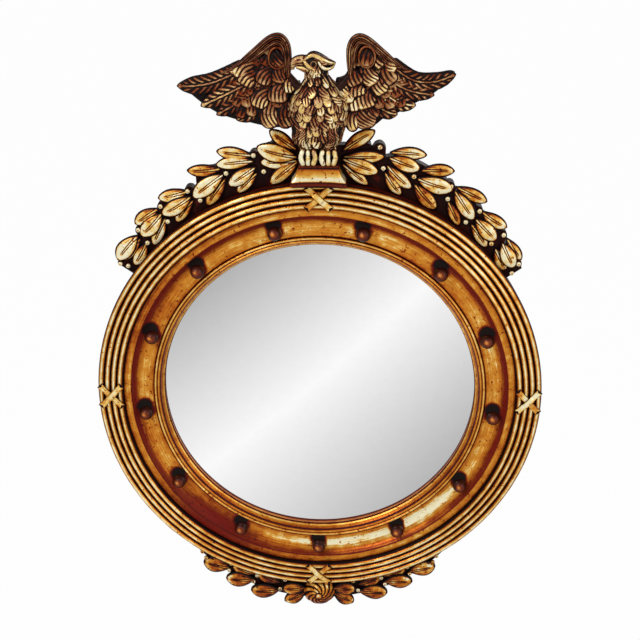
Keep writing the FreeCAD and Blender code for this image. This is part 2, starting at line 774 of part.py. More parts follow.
def make_foot(name, way):
    # Three clawed toes reach forward over the plinth from a short shank.
    body = new_body(name)
    heel = body_stand - size.dowel_radius * 2
    tip = body_stand + size.toe_reach
    claw = tip + size.claw_reach
    arch = claw - size.claw_length
    outline = new_sketch(body, SIDE, "toe", out=way * foot_across - toe_pitch)
    corners = [(-heel, plinth_top), (-heel, body_base), (-body_stand, body_base),
               (-tip, plinth_top + size.knuckle_height), (-claw, plinth_top), (-arch, plinth_top),
               (size.arch_width - arch, plinth_top + size.arch_height),
               (-body_stand - size.sole_length, plinth_top)]
    draw(outline, corners, {2: -bulged(corners, 2, size.toe_bulge)})
    toe = pad(body, outline, size.toe_width, Midplane=True)
    row = body.newObject("PartDesign::LinearPattern", f"{name}_row")
    row.Originals = [toe]
    row.Direction = (outline, ["N_Axis"])
    bind(row, "Length", toe_pitch * 2)
    row.Occurrences = 3
    body.Tip = row
    shank = new_sketch(body, PLAN, "shank", out=plinth_top)
    draw(shank, box_corners(way * foot_across, -body_stand + SPARE, foot_half,
                            size.dowel_radius * 2 - SPARE))
    pad(body, shank, size.foot_height)
    dowel = new_sketch(body, PLAN, "dowel", out=body_base)
    draw_circle(dowel, way * foot_across, -body_stand, dowel_hole)
    cut_holes(body, dowel, size.foot_height)


def box_corners(across, up, half_width, half_height):
    return [(across - half_width, up - half_height), (across - half_width, up + half_height),
            (across + half_width, up + half_height), (across + half_width, up - half_height)]


def torso_section(sketch, spare):
    # Half of the eagle's body, from the thighs to the neck, about its upright axis.
    foot = body_base - spare
    crown = neck_joint + spare
    corners = [(0, foot), (0, crown), (size.neck_radius + spare, crown),
               (size.body_radius + spare, body_base + size.chest_height),
               (size.thigh_radius + spare, foot)]
    draw(sketch, corners, {2: bulged(corners, 2, size.breast_bulge),
                           3: bulged(corners, 3, size.belly_bulge)})


def make_eagle_body():
    body = new_body("eagle_body")
    section = new_sketch(body, FRONT, "section", out=body_stand)
    torso_section(section, 0)
    spin(body, section)
    flat = new_sketch(body, FRONT, "flat_back", out=board_front)
    draw(flat, box_corners(0, body_base + size.body_height / 2, size.body_radius * 2,
                           size.body_height))
    cut_holes(body, flat, board_front)
    legs = new_sketch(body, PLAN, "legs", out=body_base)
    for way in (-1, 1):
        draw_circle(legs, way * foot_across, -body_stand, dowel_hole)
    cut_holes(body, legs, dowel_bore, Reversed=True)
    neck = new_sketch(body, PLAN, "neck", out=neck_joint)
    draw_circle(neck, 0, -body_stand, dowel_hole)
    cut_holes(body, neck, dowel_bore)
    back = new_sketch(body, FRONT, "back", out=board_front)
    draw_circle(back, 0, back_dowel_up, dowel_hole)
    cut_holes(body, back, dowel_bore, Reversed=True)
    wings = new_sketch(body, SIDE, "wings")
    draw_circle(wings, -wing_dowel_stand, wing_dowel_up, dowel_hole)
    cut_holes(body, wings, size.body_radius * 3, Midplane=True)


def across_scale(width, *outlines):
    # What makes these free outlines this wide together.
    places = [across for outline in outlines for across, up in outline]
    return width / (max(places) - min(places))


def make_eagle_head():
    # The turned head with its hooked beak and swept crest, on a stub of the neck.
    body = new_body("eagle_head")
    outline = new_sketch(body, FRONT, "outline", up=neck_joint,
                         out=body_stand - size.head_thick / 2)
    draw_freely(outline, HEAD, across_scale(size.head_length, HEAD))
    pad(body, outline, size.head_thick)
    section = new_sketch(body, FRONT, "skull", out=body_stand)
    middle = neck_joint + size.skull_radius
    draw(section, [(0, neck_joint), (0, middle + size.skull_radius), (size.skull_radius, middle),
                   (size.neck_radius, neck_joint)], {1: size.skull_radius})
    spin(body, section)
    dowel = new_sketch(body, PLAN, "dowel", out=neck_joint)
    draw_circle(dowel, 0, -body_stand, dowel_hole)
    cut_holes(body, dowel, dowel_bore, Reversed=True)


def make_wing(name, plate_points, shoulder_points):
    # A plate with a raised shoulder, coped where it meets the body.
    body = new_body(name)
    scale = across_scale(size.wing_span, LEFT_WING, RIGHT_WING)
    plate = new_sketch(body, FRONT, "plate", up=body_base, out=wing_back)
    draw_freely(plate, plate_points, scale)
    pad(body, plate, size.wing_thick)
    shoulder = new_sketch(body, FRONT, "shoulder", up=body_base, out=wing_back + size.wing_thick)
    draw_freely(shoulder, shoulder_points, scale)
    pad(body, shoulder, size.shoulder_thick)
    cope = new_sketch(body, FRONT, "cope", out=body_stand)
    torso_section(cope, size.joint_gap)
    doc.recompute()
    spin(body, cope, "Groove")
    dowel = new_sketch(body, SIDE, "dowel")
    draw_circle(dowel, -wing_dowel_stand, wing_dowel_up, dowel_hole)
    cut_holes(body, dowel, 2 * (wing_dowel_reach + size.end_room), Midplane=True)


def make_eagle_dowels():
    # One through both wings, one into the board, one in the neck and one up each leg.
    radius = float(size.dowel_radius)
    deep = float(size.dowel_depth)
    stand = float(body_stand)
    reach = float(wing_dowel_reach)
    rods = [
        Part.makeCylinder(radius, 2 * reach, Vector(-reach, -float(wing_dowel_stand),
                                                    float(wing_dowel_up)), Vector(1, 0, 0)),
        Part.makeCylinder(radius, 2 * deep, Vector(0, deep - float(board_front),
                                                   float(back_dowel_up)), Vector(0, -1, 0)),
        Part.makeCylinder(radius, 2 * deep, Vector(0, -stand, float(neck_joint) - deep),
                          Vector(0, 0, 1)),
    ]
    length = 2 * deep + float(size.foot_height)
    for way in (-1, 1):
        foot = Vector(way * float(foot_across), -stand, float(plinth_top) - deep)
        rods.append(Part.makeCylinder(radius, length, foot, Vector(0, 0, 1)))
    add_shape("eagle_dowels", Part.makeCompound(rods))


def leaf_shape(length, width, thick):
    # A pointed oval with a ridge along its back, from its root at the origin along +X. Its flat
    # side faces the wall.
    half = width / 2
    past = half + SPARE
    edge = float(size.leaf_edge)
    tip = Vector(length, 0, 0)
    wire = Part.Wire([Part.Arc(Vector(), Vector(length / 2, 0, half), tip).toShape(),
                      Part.Arc(tip, Vector(length / 2, 0, -half), Vector()).toShape()])
    plate = Part.Face(wire).extrude(Vector(0, -thick, 0))
    profile = [Vector(-SPARE, SPARE, -past), Vector(-SPARE, SPARE, past),
               Vector(-SPARE, -edge, past), Vector(-SPARE, -thick, 0), Vector(-SPARE, -edge, -past)]
    face = Part.Face(Part.makePolygon(profile + profile[:1]))
    return plate.common(face.extrude(Vector(length + 2 * SPARE, 0, 0)))


def spray_shape(clusters, berries, way, end, rise_most, flip):
    # Way is +1 to the viewer's right of the middle. The last berry comes to the end angle, and
    # the highest leaf root of all the sprays on its board to the most rise. Flip is for the apron,
    # whose angles start at the bottom.
    stand = float(board_front)
    board = [APRON_SPRAY] if flip else [LEFT_SPRAY, RIGHT_SPRAY]
    lift = rise_most / max(leaf[0] for spray in board for cluster in spray for leaf in cluster[1])
    longest = max(leaf[2] for spray in (LEFT_SPRAY, RIGHT_SPRAY) for cluster in spray
                  for leaf in cluster[1])
    scale = float(size.leaf_length) / longest
    reach = float(end) / max(angle for angle, rise in berries)
    pieces = []
    for angle, leaves in clusters:
        angle = angle * reach
        for number, (rise, turn, length, width) in enumerate(leaves):
            across, up = on_circle(size.ring_radius + rise * lift, angle)
            thick = float(size.leaf_thick if number == 1 else size.leaf_low)
            heading = turn - angle if way > 0 else 180 - turn + angle
            leaf = leaf_shape(length * scale, width * scale, thick)
            leaf.Placement = Placement(
                Vector(way * float(across), -stand, -float(up) if flip else float(up)),
                Rotation(Vector(0, -1, 0), -heading if flip else heading))
            pieces.append(leaf)
    radius = float(size.berry_radius)
    for angle, rise in berries:
        across, up = on_circle(size.ring_radius + rise * lift, angle * reach)
        foot = Vector(way * float(across), -stand, -float(up) if flip else float(up))
        pieces.append(Part.makeSphere(radius, foot - Vector(0, radius, 0), Vector(0, -1, 0)))
        pieces.append(Part.makeCylinder(float(size.stem_radius), radius, foot, Vector(0, -1, 0)))
    shape = pieces[0].multiFuse(pieces[1:])
    edge = float(board_edge)
    ring = Part.makeCylinder(edge, 3 * stand, Vector(0, 0, 0), Vector(0, -1, 0))
    back = Part.makeBox(4 * edge, stand, 4 * edge, Vector(-2 * edge, -stand, -2 * edge))
    return shape.cut(ring).cut(back)


def plinth_block():
    # The plinth's outline with a glue gap round it, to trim the leaves beside it.
    outline = doc.addObject("Sketcher::SketchObject", "plinth_gap")
    plinth_outline(outline, size.joint_gap)
    doc.recompute()
    block = Part.Face(outline.Shape).extrude(Vector(0, 0, 2 * float(board_front)))
    block.Placement = Placement(Vector(), Rotation(Vector(1, 0, 0), 90))
    doc.removeObject(outline.Name)
    return block


def make_laurel_sprays():
    block = plinth_block()
    end = size.board_end - size.spray_margin
    for side, clusters, berries, way in (("left", LEFT_SPRAY, LEFT_BERRIES, -1),
                                         ("right", RIGHT_SPRAY, RIGHT_BERRIES, 1)):
        shape = spray_shape(clusters, berries, way, end, size.spray_rise, False)
        add_shape(f"laurel_spray_{side}", shape.cut(block))


# ---- apron ----

def make_apron_board():
    # A sawn arc under the ring.
    body = new_body("apron_board")
    outer = size.ring_radius + size.apron_tail
    end = size.apron_end
    corners = [on_circle(board_edge, 180 - end), on_circle(outer, 180 - end),
               on_circle(outer, 180 + end), on_circle(board_edge, 180 + end)]
    bow = size.ring_radius + size.apron_depth - outer * cosine(end)
    outline = new_sketch(body, FRONT, "outline", out=size.ring_back)
    draw(outline, corners, {1: bulged(corners, 1, bow), 3: -board_edge})
    pad(body, outline, size.board_thick)
    cut_board_pilots(body, size.apron_cleat_end, 180)


def make_rosette():
    # A low dome, trimmed where it meets the ring.
    body = new_body("apron_rosette")
    section = new_sketch(body, PLAN, "section", out=rosette_up)
    edge = board_front + size.rosette_edge
    dome = rise_radius(size.rosette_rise - size.rosette_edge, size.rosette_radius * 2)
    draw(section, [(0, -board_front), (0, -board_front - size.rosette_rise),
                   (size.rosette_radius, -edge), (size.rosette_radius, -board_front)], {1: -dome})
    spin(body, section)
    trim = new_sketch(body, FRONT, "trim", out=board_front)
    draw_circle(trim, 0, 0, board_edge)
    cut_holes(body, trim, size.rosette_rise * 2, Reversed=True)


def make_apron_sprays():
    radius = float(size.rosette_radius + size.joint_gap)
    disc = Part.makeCylinder(radius, 3 * float(board_front), Vector(0, 0, float(rosette_up)),
                             Vector(0, -1, 0))
    end = size.apron_end - size.apron_spray_margin
    for side, way in (("left", -1), ("right", 1)):
        shape = spray_shape(APRON_SPRAY, APRON_BERRIES, way, end, size.apron_spray_rise, True)
        add_shape(f"apron_spray_{side}", shape.cut(disc))


# ---- cleats ----

def cleat_angles(end, middle):
    # Five screws spread over each cleat.
    step = (end - size.cleat_screw_end) / 2
    return [middle + step * number for number in (-2, -1, 0, 1, 2)]


def make_cleat(name, rise, end, middle):
    # A plywood arc that joins a board to the ring from behind.
    body = new_body(name)
    inner = size.ring_radius - size.cleat_lap
    outer = size.ring_radius + rise
    outline = new_sketch(body, FRONT, "outline", out=cleat_back)
    draw(outline, [on_circle(inner, middle - end), on_circle(outer, middle - end),
                   on_circle(outer, middle + end), on_circle(inner, middle + end)],
         {1: outer, 3: -inner})
    pad(body, outline, size.cleat_thick)
    holes = new_sketch(body, FRONT, "holes", out=cleat_back)
    sinks = new_sketch(body, FRONT, "sinks", out=cleat_back)
    places = []
    for angle in cleat_angles(end, middle):
        places.append(on_circle(size.ring_radius - size.cleat_screw_in, angle))
        places.append(on_circle(size.ring_radius + size.cleat_screw_out, angle))
    for across, up in places:
        draw_circle(holes, across, up, screw_hole)
        draw_circle(sinks, across, up, head_hole)
    cut_holes(body, sinks, size.screw_head - size.screw_radius, Reversed=True)
    cut_holes(body, holes, size.cleat_thick * 2, Reversed=True)
    screws_at(f"{name}_screws", places, cleat_back)


# ---- hangers ----

def hanger_place(way):
    # The pivot of a D-ring.
    across, up = on_circle(size.ring_radius - size.hanger_inset, size.hanger_angle)
    return way * across, up


def make_strap(name, way):
    # A folded strip: its loop holds the D-ring's bar, and one screw holds its tail.
    body = new_body(name)
    across, pivot = hanger_place(way)
    side = new_sketch(body, SIDE, "side", out=across)
    draw(side, box_corners(-(size.ring_back + strap_face) / 2, pivot - strap_length / 2,
                           size.loop_wall, strap_length / 2))
    pad(body, side, size.strap_width, Midplane=True)
    eye = new_sketch(body, SIDE, "eye", out=across)
    draw_circle(eye, -pivot_stand, pivot, size.wire_radius + size.loop_gap + size.loop_wall)
    pad(body, eye, size.strap_width, Midplane=True)
    bore = new_sketch(body, SIDE, "bore", out=across)
    draw_circle(bore, -pivot_stand, pivot, size.wire_radius + size.loop_gap)
    cut_holes(body, bore, size.strap_width * 2, Midplane=True)
    hole = new_sketch(body, FRONT, "hole", out=size.ring_back)
    draw_circle(hole, across, pivot - screw_drop, screw_hole)
    cut_holes(body, hole, size.loop_wall * 4)


def make_hanger_screws():
    # Round heads on the straps.
    head = float(size.screw_head)
    low, high = head * 0.3, head * 0.6      # start of the shank, and the head's height
    screws = []
    for way in (-1, 1):
        across, pivot = hanger_place(way)
        spot = Vector(float(across), -float(strap_face), float(pivot - screw_drop))
        cap = Part.makeSphere(head, spot)
        cap = cap.common(Part.makeBox(2 * head, high, 2 * head, spot - Vector(head, 0, head)))
        shank = Part.makeCylinder(float(size.screw_radius), float(size.screw_length) - low,
                                  spot, Vector(0, -1, 0))
        screws.append(cap.fuse(shank))
    add_shape("hanger_screws", Part.makeCompound(screws))


def ring_tilt():
    # The D-ring hangs against the strap, so it leans out by this angle.
    clear = size.wire_radius + size.joint_gap - (strap_face - pivot_stand)
    return math.degrees(math.asin(float(clear) / float(ring_reach)))


def make_d_ring(name, way):
    # One closed wire: a bar, two legs and a half circle. It starts in the middle of the bar.
    half = float(size.ring_inside / 2 + size.wire_radius)
    corner = float(size.ring_corner)
    legs = float(size.ring_leg) + corner
    nook = corner * (1 - math.sqrt(0.5))
    points = [Vector(-half + corner, 0, 0), Vector(half - corner, 0, 0),
              Vector(half - nook, 0, -nook), Vector(half, 0, -corner), Vector(half, 0, -legs),
              Vector(0, 0, -legs - half), Vector(-half, 0, -legs), Vector(-half, 0, -corner),
              Vector(-half + nook, 0, -nook)]
    start = Vector(0, 0, 0)
    path = Part.Wire([Part.LineSegment(start, points[1]).toShape(),
                      Part.Arc(points[1], points[2], points[3]).toShape(),
                      Part.LineSegment(points[3], points[4]).toShape(),
                      Part.Arc(points[4], points[5], points[6]).toShape(),
                      Part.LineSegment(points[6], points[7]).toShape(),
                      Part.Arc(points[7], points[8], points[0]).toShape(),
                      Part.LineSegment(points[0], start).toShape()])
    section = Part.Wire(Part.makeCircle(float(size.wire_radius), start, Vector(1, 0, 0)))
    item = add_shape(name, path.makePipeShell([section], True, False))
    across, pivot = hanger_place(way)
    item.Placement = Placement(Vector(float(across), -float(pivot_stand), float(pivot)),
                               Rotation(Vector(1, 0, 0), ring_tilt()))


# ---- the whole mirror ----

def make_all():
    make_core_ring()
    make_reeded_ring()
    make_cavetto_ring()
    make_sight_slip()
    make_glass()
    make_glazing_blocks()
    make_backboard()
    make_backboard_screws()
    for number in range(1, SIZES["ball_count"] + 1):
        make_ball(number)
    for name, angle in (("top", 0), ("right", 90), ("bottom", 180), ("left", 270)):
        make_tie(f"ribbon_{name}", angle)
    make_crest_board()
    make_plinth()
    make_foot("eagle_foot_left", -1)
    make_foot("eagle_foot_right", 1)
    make_eagle_body()
    make_eagle_head()
    make_wing("eagle_wing_left", LEFT_WING, LEFT_SHOULDER)
    make_wing("eagle_wing_right", RIGHT_WING, RIGHT_SHOULDER)
    make_eagle_dowels()
    make_laurel_sprays()
    make_apron_board()
    make_rosette()
    make_apron_sprays()
    make_cleat("crest_cleat", size.crest_cleat_rise, size.crest_cleat_end, 0)
    make_cleat("apron_cleat", size.apron_cleat_rise, size.apron_cleat_end, 180)
    for side, way in (("left", -1), ("right", 1)):
        make_strap(f"hanger_strap_{side}", way)
        make_d_ring(f"d_ring_{side}", way)
    make_hanger_screws()


def check_all():
    for item in doc.Objects:
        if "Invalid" in item.State or "Error" in item.State:
            raise RuntimeError(f"{item.Name} failed: {item.State}")
    for item in sub_parts:
        if item.Shape.isNull() or not item.Shape.isValid() or not item.Shape.Solids:
            raise RuntimeError(f"{item.Label} has no valid solid")


make_all()
doc.recompute()
check_all()
os.makedirs("parts", exist_ok=True)
for item in sub_parts:
    item.Shape.exportStep(f"parts/{item.Label}.step")
    box = item.Shape.optimalBoundingBox()
    print(f"{item.Label}: {len(item.Shape.Solids)} solids, {item.Shape.Volume / 1000:.2f} cm3, "
          f"X {box.XMin:.1f}..{box.XMax:.1f} Y {box.YMin:.1f}..{box.YMax:.1f} "
          f"Z {box.ZMin:.1f}..{box.ZMax:.1f}")
across, pivot = hanger_place(1)
print(f"{len(sub_parts)} sub-parts. D-rings pivot at X {float(across):.4f}, "
      f"Y {-float(pivot_stand):.4f}, Z {float(pivot):.4f} and lean out by {ring_tilt():.3f} degrees")
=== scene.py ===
import math

import bmesh
import bpy
import numpy as np
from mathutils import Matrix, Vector


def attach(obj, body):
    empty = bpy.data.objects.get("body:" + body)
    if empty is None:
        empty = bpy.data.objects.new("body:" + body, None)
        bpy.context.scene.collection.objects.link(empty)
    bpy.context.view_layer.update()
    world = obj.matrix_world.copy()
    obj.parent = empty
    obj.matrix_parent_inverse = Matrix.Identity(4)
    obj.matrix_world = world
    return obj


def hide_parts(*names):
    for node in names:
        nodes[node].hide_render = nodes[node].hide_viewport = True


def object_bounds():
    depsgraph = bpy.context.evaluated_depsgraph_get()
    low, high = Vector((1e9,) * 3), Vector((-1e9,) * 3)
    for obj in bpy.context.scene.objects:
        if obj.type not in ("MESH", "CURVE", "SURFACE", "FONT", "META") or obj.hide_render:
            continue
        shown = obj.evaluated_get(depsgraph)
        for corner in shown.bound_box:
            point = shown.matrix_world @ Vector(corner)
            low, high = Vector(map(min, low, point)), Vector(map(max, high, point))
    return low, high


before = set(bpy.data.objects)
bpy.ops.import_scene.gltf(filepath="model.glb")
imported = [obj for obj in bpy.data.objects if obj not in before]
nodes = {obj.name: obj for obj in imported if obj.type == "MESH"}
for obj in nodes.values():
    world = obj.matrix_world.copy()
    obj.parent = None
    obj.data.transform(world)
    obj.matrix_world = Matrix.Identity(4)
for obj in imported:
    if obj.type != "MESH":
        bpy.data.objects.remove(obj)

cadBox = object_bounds()
chance = np.random.default_rng(11)

# Everything below is worked out in millimetres, and goes to metres when a mesh is made.
# "stand" is a distance out from the wall, so it is minus Y.
ringRadius = cadBox[1][0] * 1000


class Wire:
    # A socket that sums are written with. Each sum adds its Math nodes.
    def __init__(self, finish, socket):
        self.finish, self.socket = finish, socket

    def work(self, operation, *others):
        return self.finish.node("ShaderNodeMath", {"operation": operation},
                                dict(enumerate((self,) + others)))

    def __add__(self, other):
        return self.work("ADD", other)

    def __mul__(self, other):
        return self.work("MULTIPLY", other)

    def __sub__(self, other):
        return self.work("SUBTRACT", other)

    def __rsub__(self, other):
        return self * -1 + other

    def __pow__(self, other):
        return self.work("POWER", other)

    __radd__, __rmul__ = __add__, __mul__

    def step(self, low, high):       # 0 below low, 1 above high, smooth between
        return self.finish.node("ShaderNodeMapRange", {"interpolation_type": "SMOOTHSTEP"},
                                {0: self, 1: low, 2: high})

    def held(self):
        return self.work("MAXIMUM", 0.0).work("MINIMUM", 1.0)


class Finish:
    # The nodes of one material, or of the world.
    def __init__(self, name, tree=None):
        if tree is None:
            self.material = bpy.data.materials.new(name)
            self.material.use_nodes = True
            tree = self.material.node_tree
        self.tree = tree
        tree.nodes.clear()

    def node(self, kind, settings=None, values=None, out=0):
        made = self.tree.nodes.new(kind)
        for key, value in (settings or {}).items():
            if key == "stops":
                while len(made.color_ramp.elements) < len(value):
                    made.color_ramp.elements.new(0.5)
                for element, (place, colour) in zip(made.color_ramp.elements, value):
                    element.position = place
                    element.color = (*colour, 1)
            else:
                setattr(made, key, value)
        for key, value in (values or {}).items():
            socket = made.inputs[key]
            if isinstance(value, Wire):
                self.tree.links.new(value.socket, socket)
            elif isinstance(value, tuple) and len(value) == 3 and socket.type == "RGBA":
                socket.default_value = (*value, 1)
            else:
                socket.default_value = value
        return Wire(self, made.outputs[out]) if len(made.outputs) else None

    def carved(self, name):
        return self.node("ShaderNodeAttribute", {"attribute_name": name}, out=2)

    def place(self):
        return self.node("ShaderNodeTexCoord", out=3)

    def stretched(self, scale):
        return self.node("ShaderNodeMapping", {}, {0: self.place(), 3: scale})

    def noise(self, scale, detail, rough, place=None):
        return self.node("ShaderNodeTexNoise", {}, {"Vector": place or self.place(),
                         "Scale": scale, "Detail": detail, "Roughness": rough})

    def blend(self, share, first, second):
        return self.node("ShaderNodeMix", {"data_type": "RGBA"},
                         {0: share, 6: first, 7: second}, out=2)

    def ramp(self, value, stops):
        return self.node("ShaderNodeValToRGB", {"stops": stops}, {0: value})

    def bump(self, height, strength, deep):
        return self.node("ShaderNodeBump", {}, {"Height": height, "Strength": strength,
                                                "Distance": deep})

    def surface(self, **values):
        values = {key.replace("_", " "): value for key, value in values.items()}
        shader = self.node("ShaderNodeBsdfPrincipled", {}, values)
        self.node("ShaderNodeOutputMaterial", {}, {0: shader})
        return self.material


def srgb(red, green, blue):
    return tuple(round((c / 255 / 12.92) if c < 11 else ((c / 255 + 0.055) / 1.055) ** 2.4, 4)
                 for c in (red, green, blue))


giltColours = {
    "pitch": (16, 3, 1), "bole": (84, 13, 5), "clay": (120, 20, 7), "russet": (130, 48, 12),
    "amber": (188, 98, 22), "gold": (222, 148, 48), "straw": (248, 208, 116),
    "cream": (255, 246, 206),
    "umber": (60, 24, 12), "tan": (158, 104, 60), "sand": (220, 182, 128),
}


def gilding(name, places, mottle=0.5, metal=0.55, streaks=False):
    # Gold leaf over red clay: relief is 0 in the grooves and 1 where it is rubbed bright; several
    # pieces also paint highlights into it.
    finish = Finish(name)
    relief, tone = finish.carved("relief"), finish.carved("tone")
    cloud = finish.noise(70, 3, 0.62)
    wide = finish.noise(9, 2, 0.5)
    grain = finish.noise(420, 2, 0.6)
    crest = relief.step(0.2, 0.6)
    value = relief + (wide - 0.5) * 0.4 * crest + (cloud - 0.5) * mottle * crest
    value = value + (tone - 0.5) * 0.35 * relief.step(0.15, 0.5)
    if streaks:
        value = value + (ringStreaks(finish) - 0.5) * 0.7 * relief.step(0.1, 0.5)
    flecks = finish.noise(210, 3, 0.7).step(0.6, 0.67)            # leaf rubbed through
    value = value * (1 - flecks * 0.54)
    stops = [(place, srgb(*giltColours[colour])) for colour, place in places]
    colour = finish.ramp(value.held(), stops)
    shine = relief.step(0.15, 0.6)
    return finish.surface(
        Base_Color=colour, Metallic=shine * metal, Specular_IOR_Level=0.14,
        Roughness=0.52 - shine * 0.2 + (grain - 0.5) * 0.25,
        Normal=finish.bump(cloud * 0.6 + grain * 0.4, 0.35, 0.0006))


def ringStreaks(finish):
    # Noise drawn out along the circles of the frame.
    apart = finish.node("ShaderNodeSeparateXYZ", {}, {0: finish.place()})
    across, up = apart, Wire(finish, apart.socket.node.outputs[2])
    radius = (across * across + up * up) ** 0.5
    angle = across.work("ARCTAN2", up)
    laid = finish.node("ShaderNodeCombineXYZ", {}, {0: angle * 4, 1: radius * 380})
    return finish.noise(1.5, 4, 0.62, laid)


frameGilt = gilding("frameGilt", [
    ("pitch", 0.1), ("bole", 0.24), ("russet", 0.38), ("amber", 0.52), ("gold", 0.7),
    ("straw", 0.88), ("cream", 1)])
coveGilt = gilding("coveGilt", [
    ("pitch", 0.06), ("bole", 0.18), ("clay", 0.27), ("russet", 0.4), ("amber", 0.58),
    ("gold", 0.82), ("straw", 0.94), ("cream", 1)], mottle=0.6, streaks=True)
leafGilt = gilding("leafGilt", [
    ("pitch", 0.12), ("bole", 0.25), ("russet", 0.36), ("amber", 0.5), ("gold", 0.64),
    ("straw", 0.8), ("cream", 0.96)], mottle=1.1, metal=0.25)
apronGilt = gilding("apronGilt", [
    ("pitch", 0.36), ("umber", 0.48), ("russet", 0.62), ("amber", 0.78), ("gold", 0.9),
    ("straw", 0.98), ("cream", 1)], mottle=1.0, metal=0.25)
eagleGilt = gilding("eagleGilt", [
    ("pitch", 0.24), ("umber", 0.4), ("russet", 0.52), ("tan", 0.68), ("sand", 0.84),
    ("straw", 0.94), ("cream", 1)], mottle=0.9, metal=0.3)


def ballLacquer():
    finish = Finish("ballLacquer")
    relief = finish.carved("relief")
    cloud = finish.noise(130, 3, 0.6)
    colour = finish.ramp((relief * 0.8 + (cloud - 0.4) * 0.5).held(),
                         [(0, srgb(16, 4, 2)), (0.4, srgb(60, 17, 7)), (0.7, srgb(122, 46, 14)),
                          (1, srgb(224, 140, 60))])
    return finish.surface(Base_Color=colour, Roughness=0.26 + cloud * 0.2, Coat_Weight=0.1,
                          Coat_Roughness=0.08, Specular_IOR_Level=0.14,
                          Normal=finish.bump(cloud, 0.15, 0.0004))


def oldMirror():
    finish = Finish("oldMirror")
    middle = finish.carved("relief")                # 1 at the middle, 0 at the rim
    spots = finish.noise(70, 5, 0.7)
    foxed = (1 - middle) * 0.35 + spots
    worn = foxed.step(0.98, 1.1)
    colour = finish.blend(worn, srgb(250, 250, 250), srgb(120, 104, 84))
    colour = finish.blend(spots.step(0.35, 0.75) * 0.05, colour, srgb(196, 200, 198))
    return finish.surface(Base_Color=colour, Metallic=1 - worn * 0.4,
                          Roughness=0.03 + worn * 0.3 + (spots - 0.5) * 0.02)


def planed(name, pale, dark, along, knots=0.4):
    # Planed wood with its grain along X, Y or Z: along is 0, 1 or 2.
    finish = Finish(name)
    scale = [190.0] * 3
    scale[along] = 9.0
    fibres = finish.noise(1, 4, 0.65, finish.stretched(tuple(scale)))
    wide = finish.noise(1, 2, 0.5, finish.stretched(tuple(s / 7 for s in scale)))
    dirt = finish.noise(26, 4, 0.6).step(0.45, 0.75)
    colour = finish.blend((fibres * 0.6 + wide * knots).step(0.35, 0.65), srgb(*dark), srgb(*pale))
    colour = finish.blend(dirt * 0.3, colour, srgb(*(c * 0.6 for c in dark)))
    return finish.surface(Base_Color=colour, Roughness=0.6 + (fibres - 0.5) * 0.3,
                          Normal=finish.bump(fibres, 0.4, 0.0005))


def boardStain():
    finish = Finish("boardStain")
    normal = finish.node("ShaderNodeNewGeometry", out=1)
    facing = finish.node("ShaderNodeSeparateXYZ", {}, {0: normal}, out=1)
    front = (facing * -1).step(-0.7, -0.4)          # the back is left sawn
    saw = finish.noise(1, 3, 0.6, finish.stretched((60.0, 420.0, 60.0)))
    cloud = finish.noise(60, 4, 0.6)
    sawn = finish.blend(saw, srgb(150, 112, 72), srgb(206, 174, 130))
    stain = finish.ramp((cloud * 1.5 - 0.25).held(), [(0, srgb(10, 2, 1)), (0.6, srgb(34, 6, 3)),
                                                      (1, srgb(112, 28, 12))])
    return finish.surface(Base_Color=finish.blend(front, sawn, stain),
                          Specular_IOR_Level=0.08,
                          Roughness=0.62 - front * 0.15 + (cloud - 0.5) * 0.2,
                          Normal=finish.bump(saw + cloud, 0.3, 0.0006))


def metalWork(name, bright, dull, rough=0.34):
    finish = Finish(name)
    cloud = finish.noise(180, 4, 0.6)
    fine = finish.noise(1, 3, 0.6, finish.stretched((300.0, 900.0, 300.0)))
    tarnish = (cloud * 0.7 + fine * 0.3).step(0.42, 0.66)
    return finish.surface(Base_Color=finish.blend(tarnish, srgb(*bright), srgb(*dull)),
                          Metallic=0.95 - tarnish * 0.25, Roughness=rough + tarnish * 0.2,
                          Normal=finish.bump(fine, 0.2, 0.0002))


coreWood = planed("coreWood", (206, 168, 118), (160, 114, 68), 0)
cleatWood = planed("cleatWood", (198, 156, 104), (146, 100, 58), 0)
blockWood = planed("blockWood", (214, 180, 132), (172, 128, 80), 2)
panelWood = planed("panelWood", (188, 150, 104), (138, 98, 60), 2, knots=0.7)
stainedBoard = boardStain()
screwSteel = metalWork("screwSteel", (196, 190, 178), (118, 106, 92))
hangerBrass = metalWork("hangerBrass", (206, 170, 98), (128, 96, 48), rough=0.3)
lacquer = ballLacquer()
mirrorSilver = oldMirror()
print("finishes made")


def soft(low, high, value):
    # 0 at low, 1 at high and smooth between. Either may be the larger.
    share = np.clip((np.asarray(value, float) - low) / (high - low), 0, 1)
    return share * share * (3 - 2 * share)


def unit(vectors):
    vectors = np.asarray(vectors, float)
    return vectors / np.maximum(np.linalg.norm(vectors, axis=-1, keepdims=True), 1e-9)


def throughPoints(points, count):
    # A smooth line through the points, evenly spaced, and its length.
    points = np.array(points, float)
    padded = np.vstack([2 * points[0] - points[1], points, 2 * points[-1] - points[-2]])
    share = np.linspace(0, 1, 16, endpoint=False)[:, None]
    fine = []
    for a, b, c, d in zip(padded, padded[1:], padded[2:], padded[3:]):
        fine.append(0.5 * (2 * b + (c - a) * share + (2 * a - 5 * b + 4 * c - d) * share ** 2
                           + (3 * b - 3 * c + d - a) * share ** 3))
    fine = np.vstack(fine + [points[-1:]])
    run = np.concatenate([[0], np.cumsum(np.linalg.norm(np.diff(fine, axis=0), axis=1))])
    want = np.linspace(0, run[-1], count)
    return np.stack([np.interp(want, run, fine[:, k]) for k in range(3)], 1), run[-1]


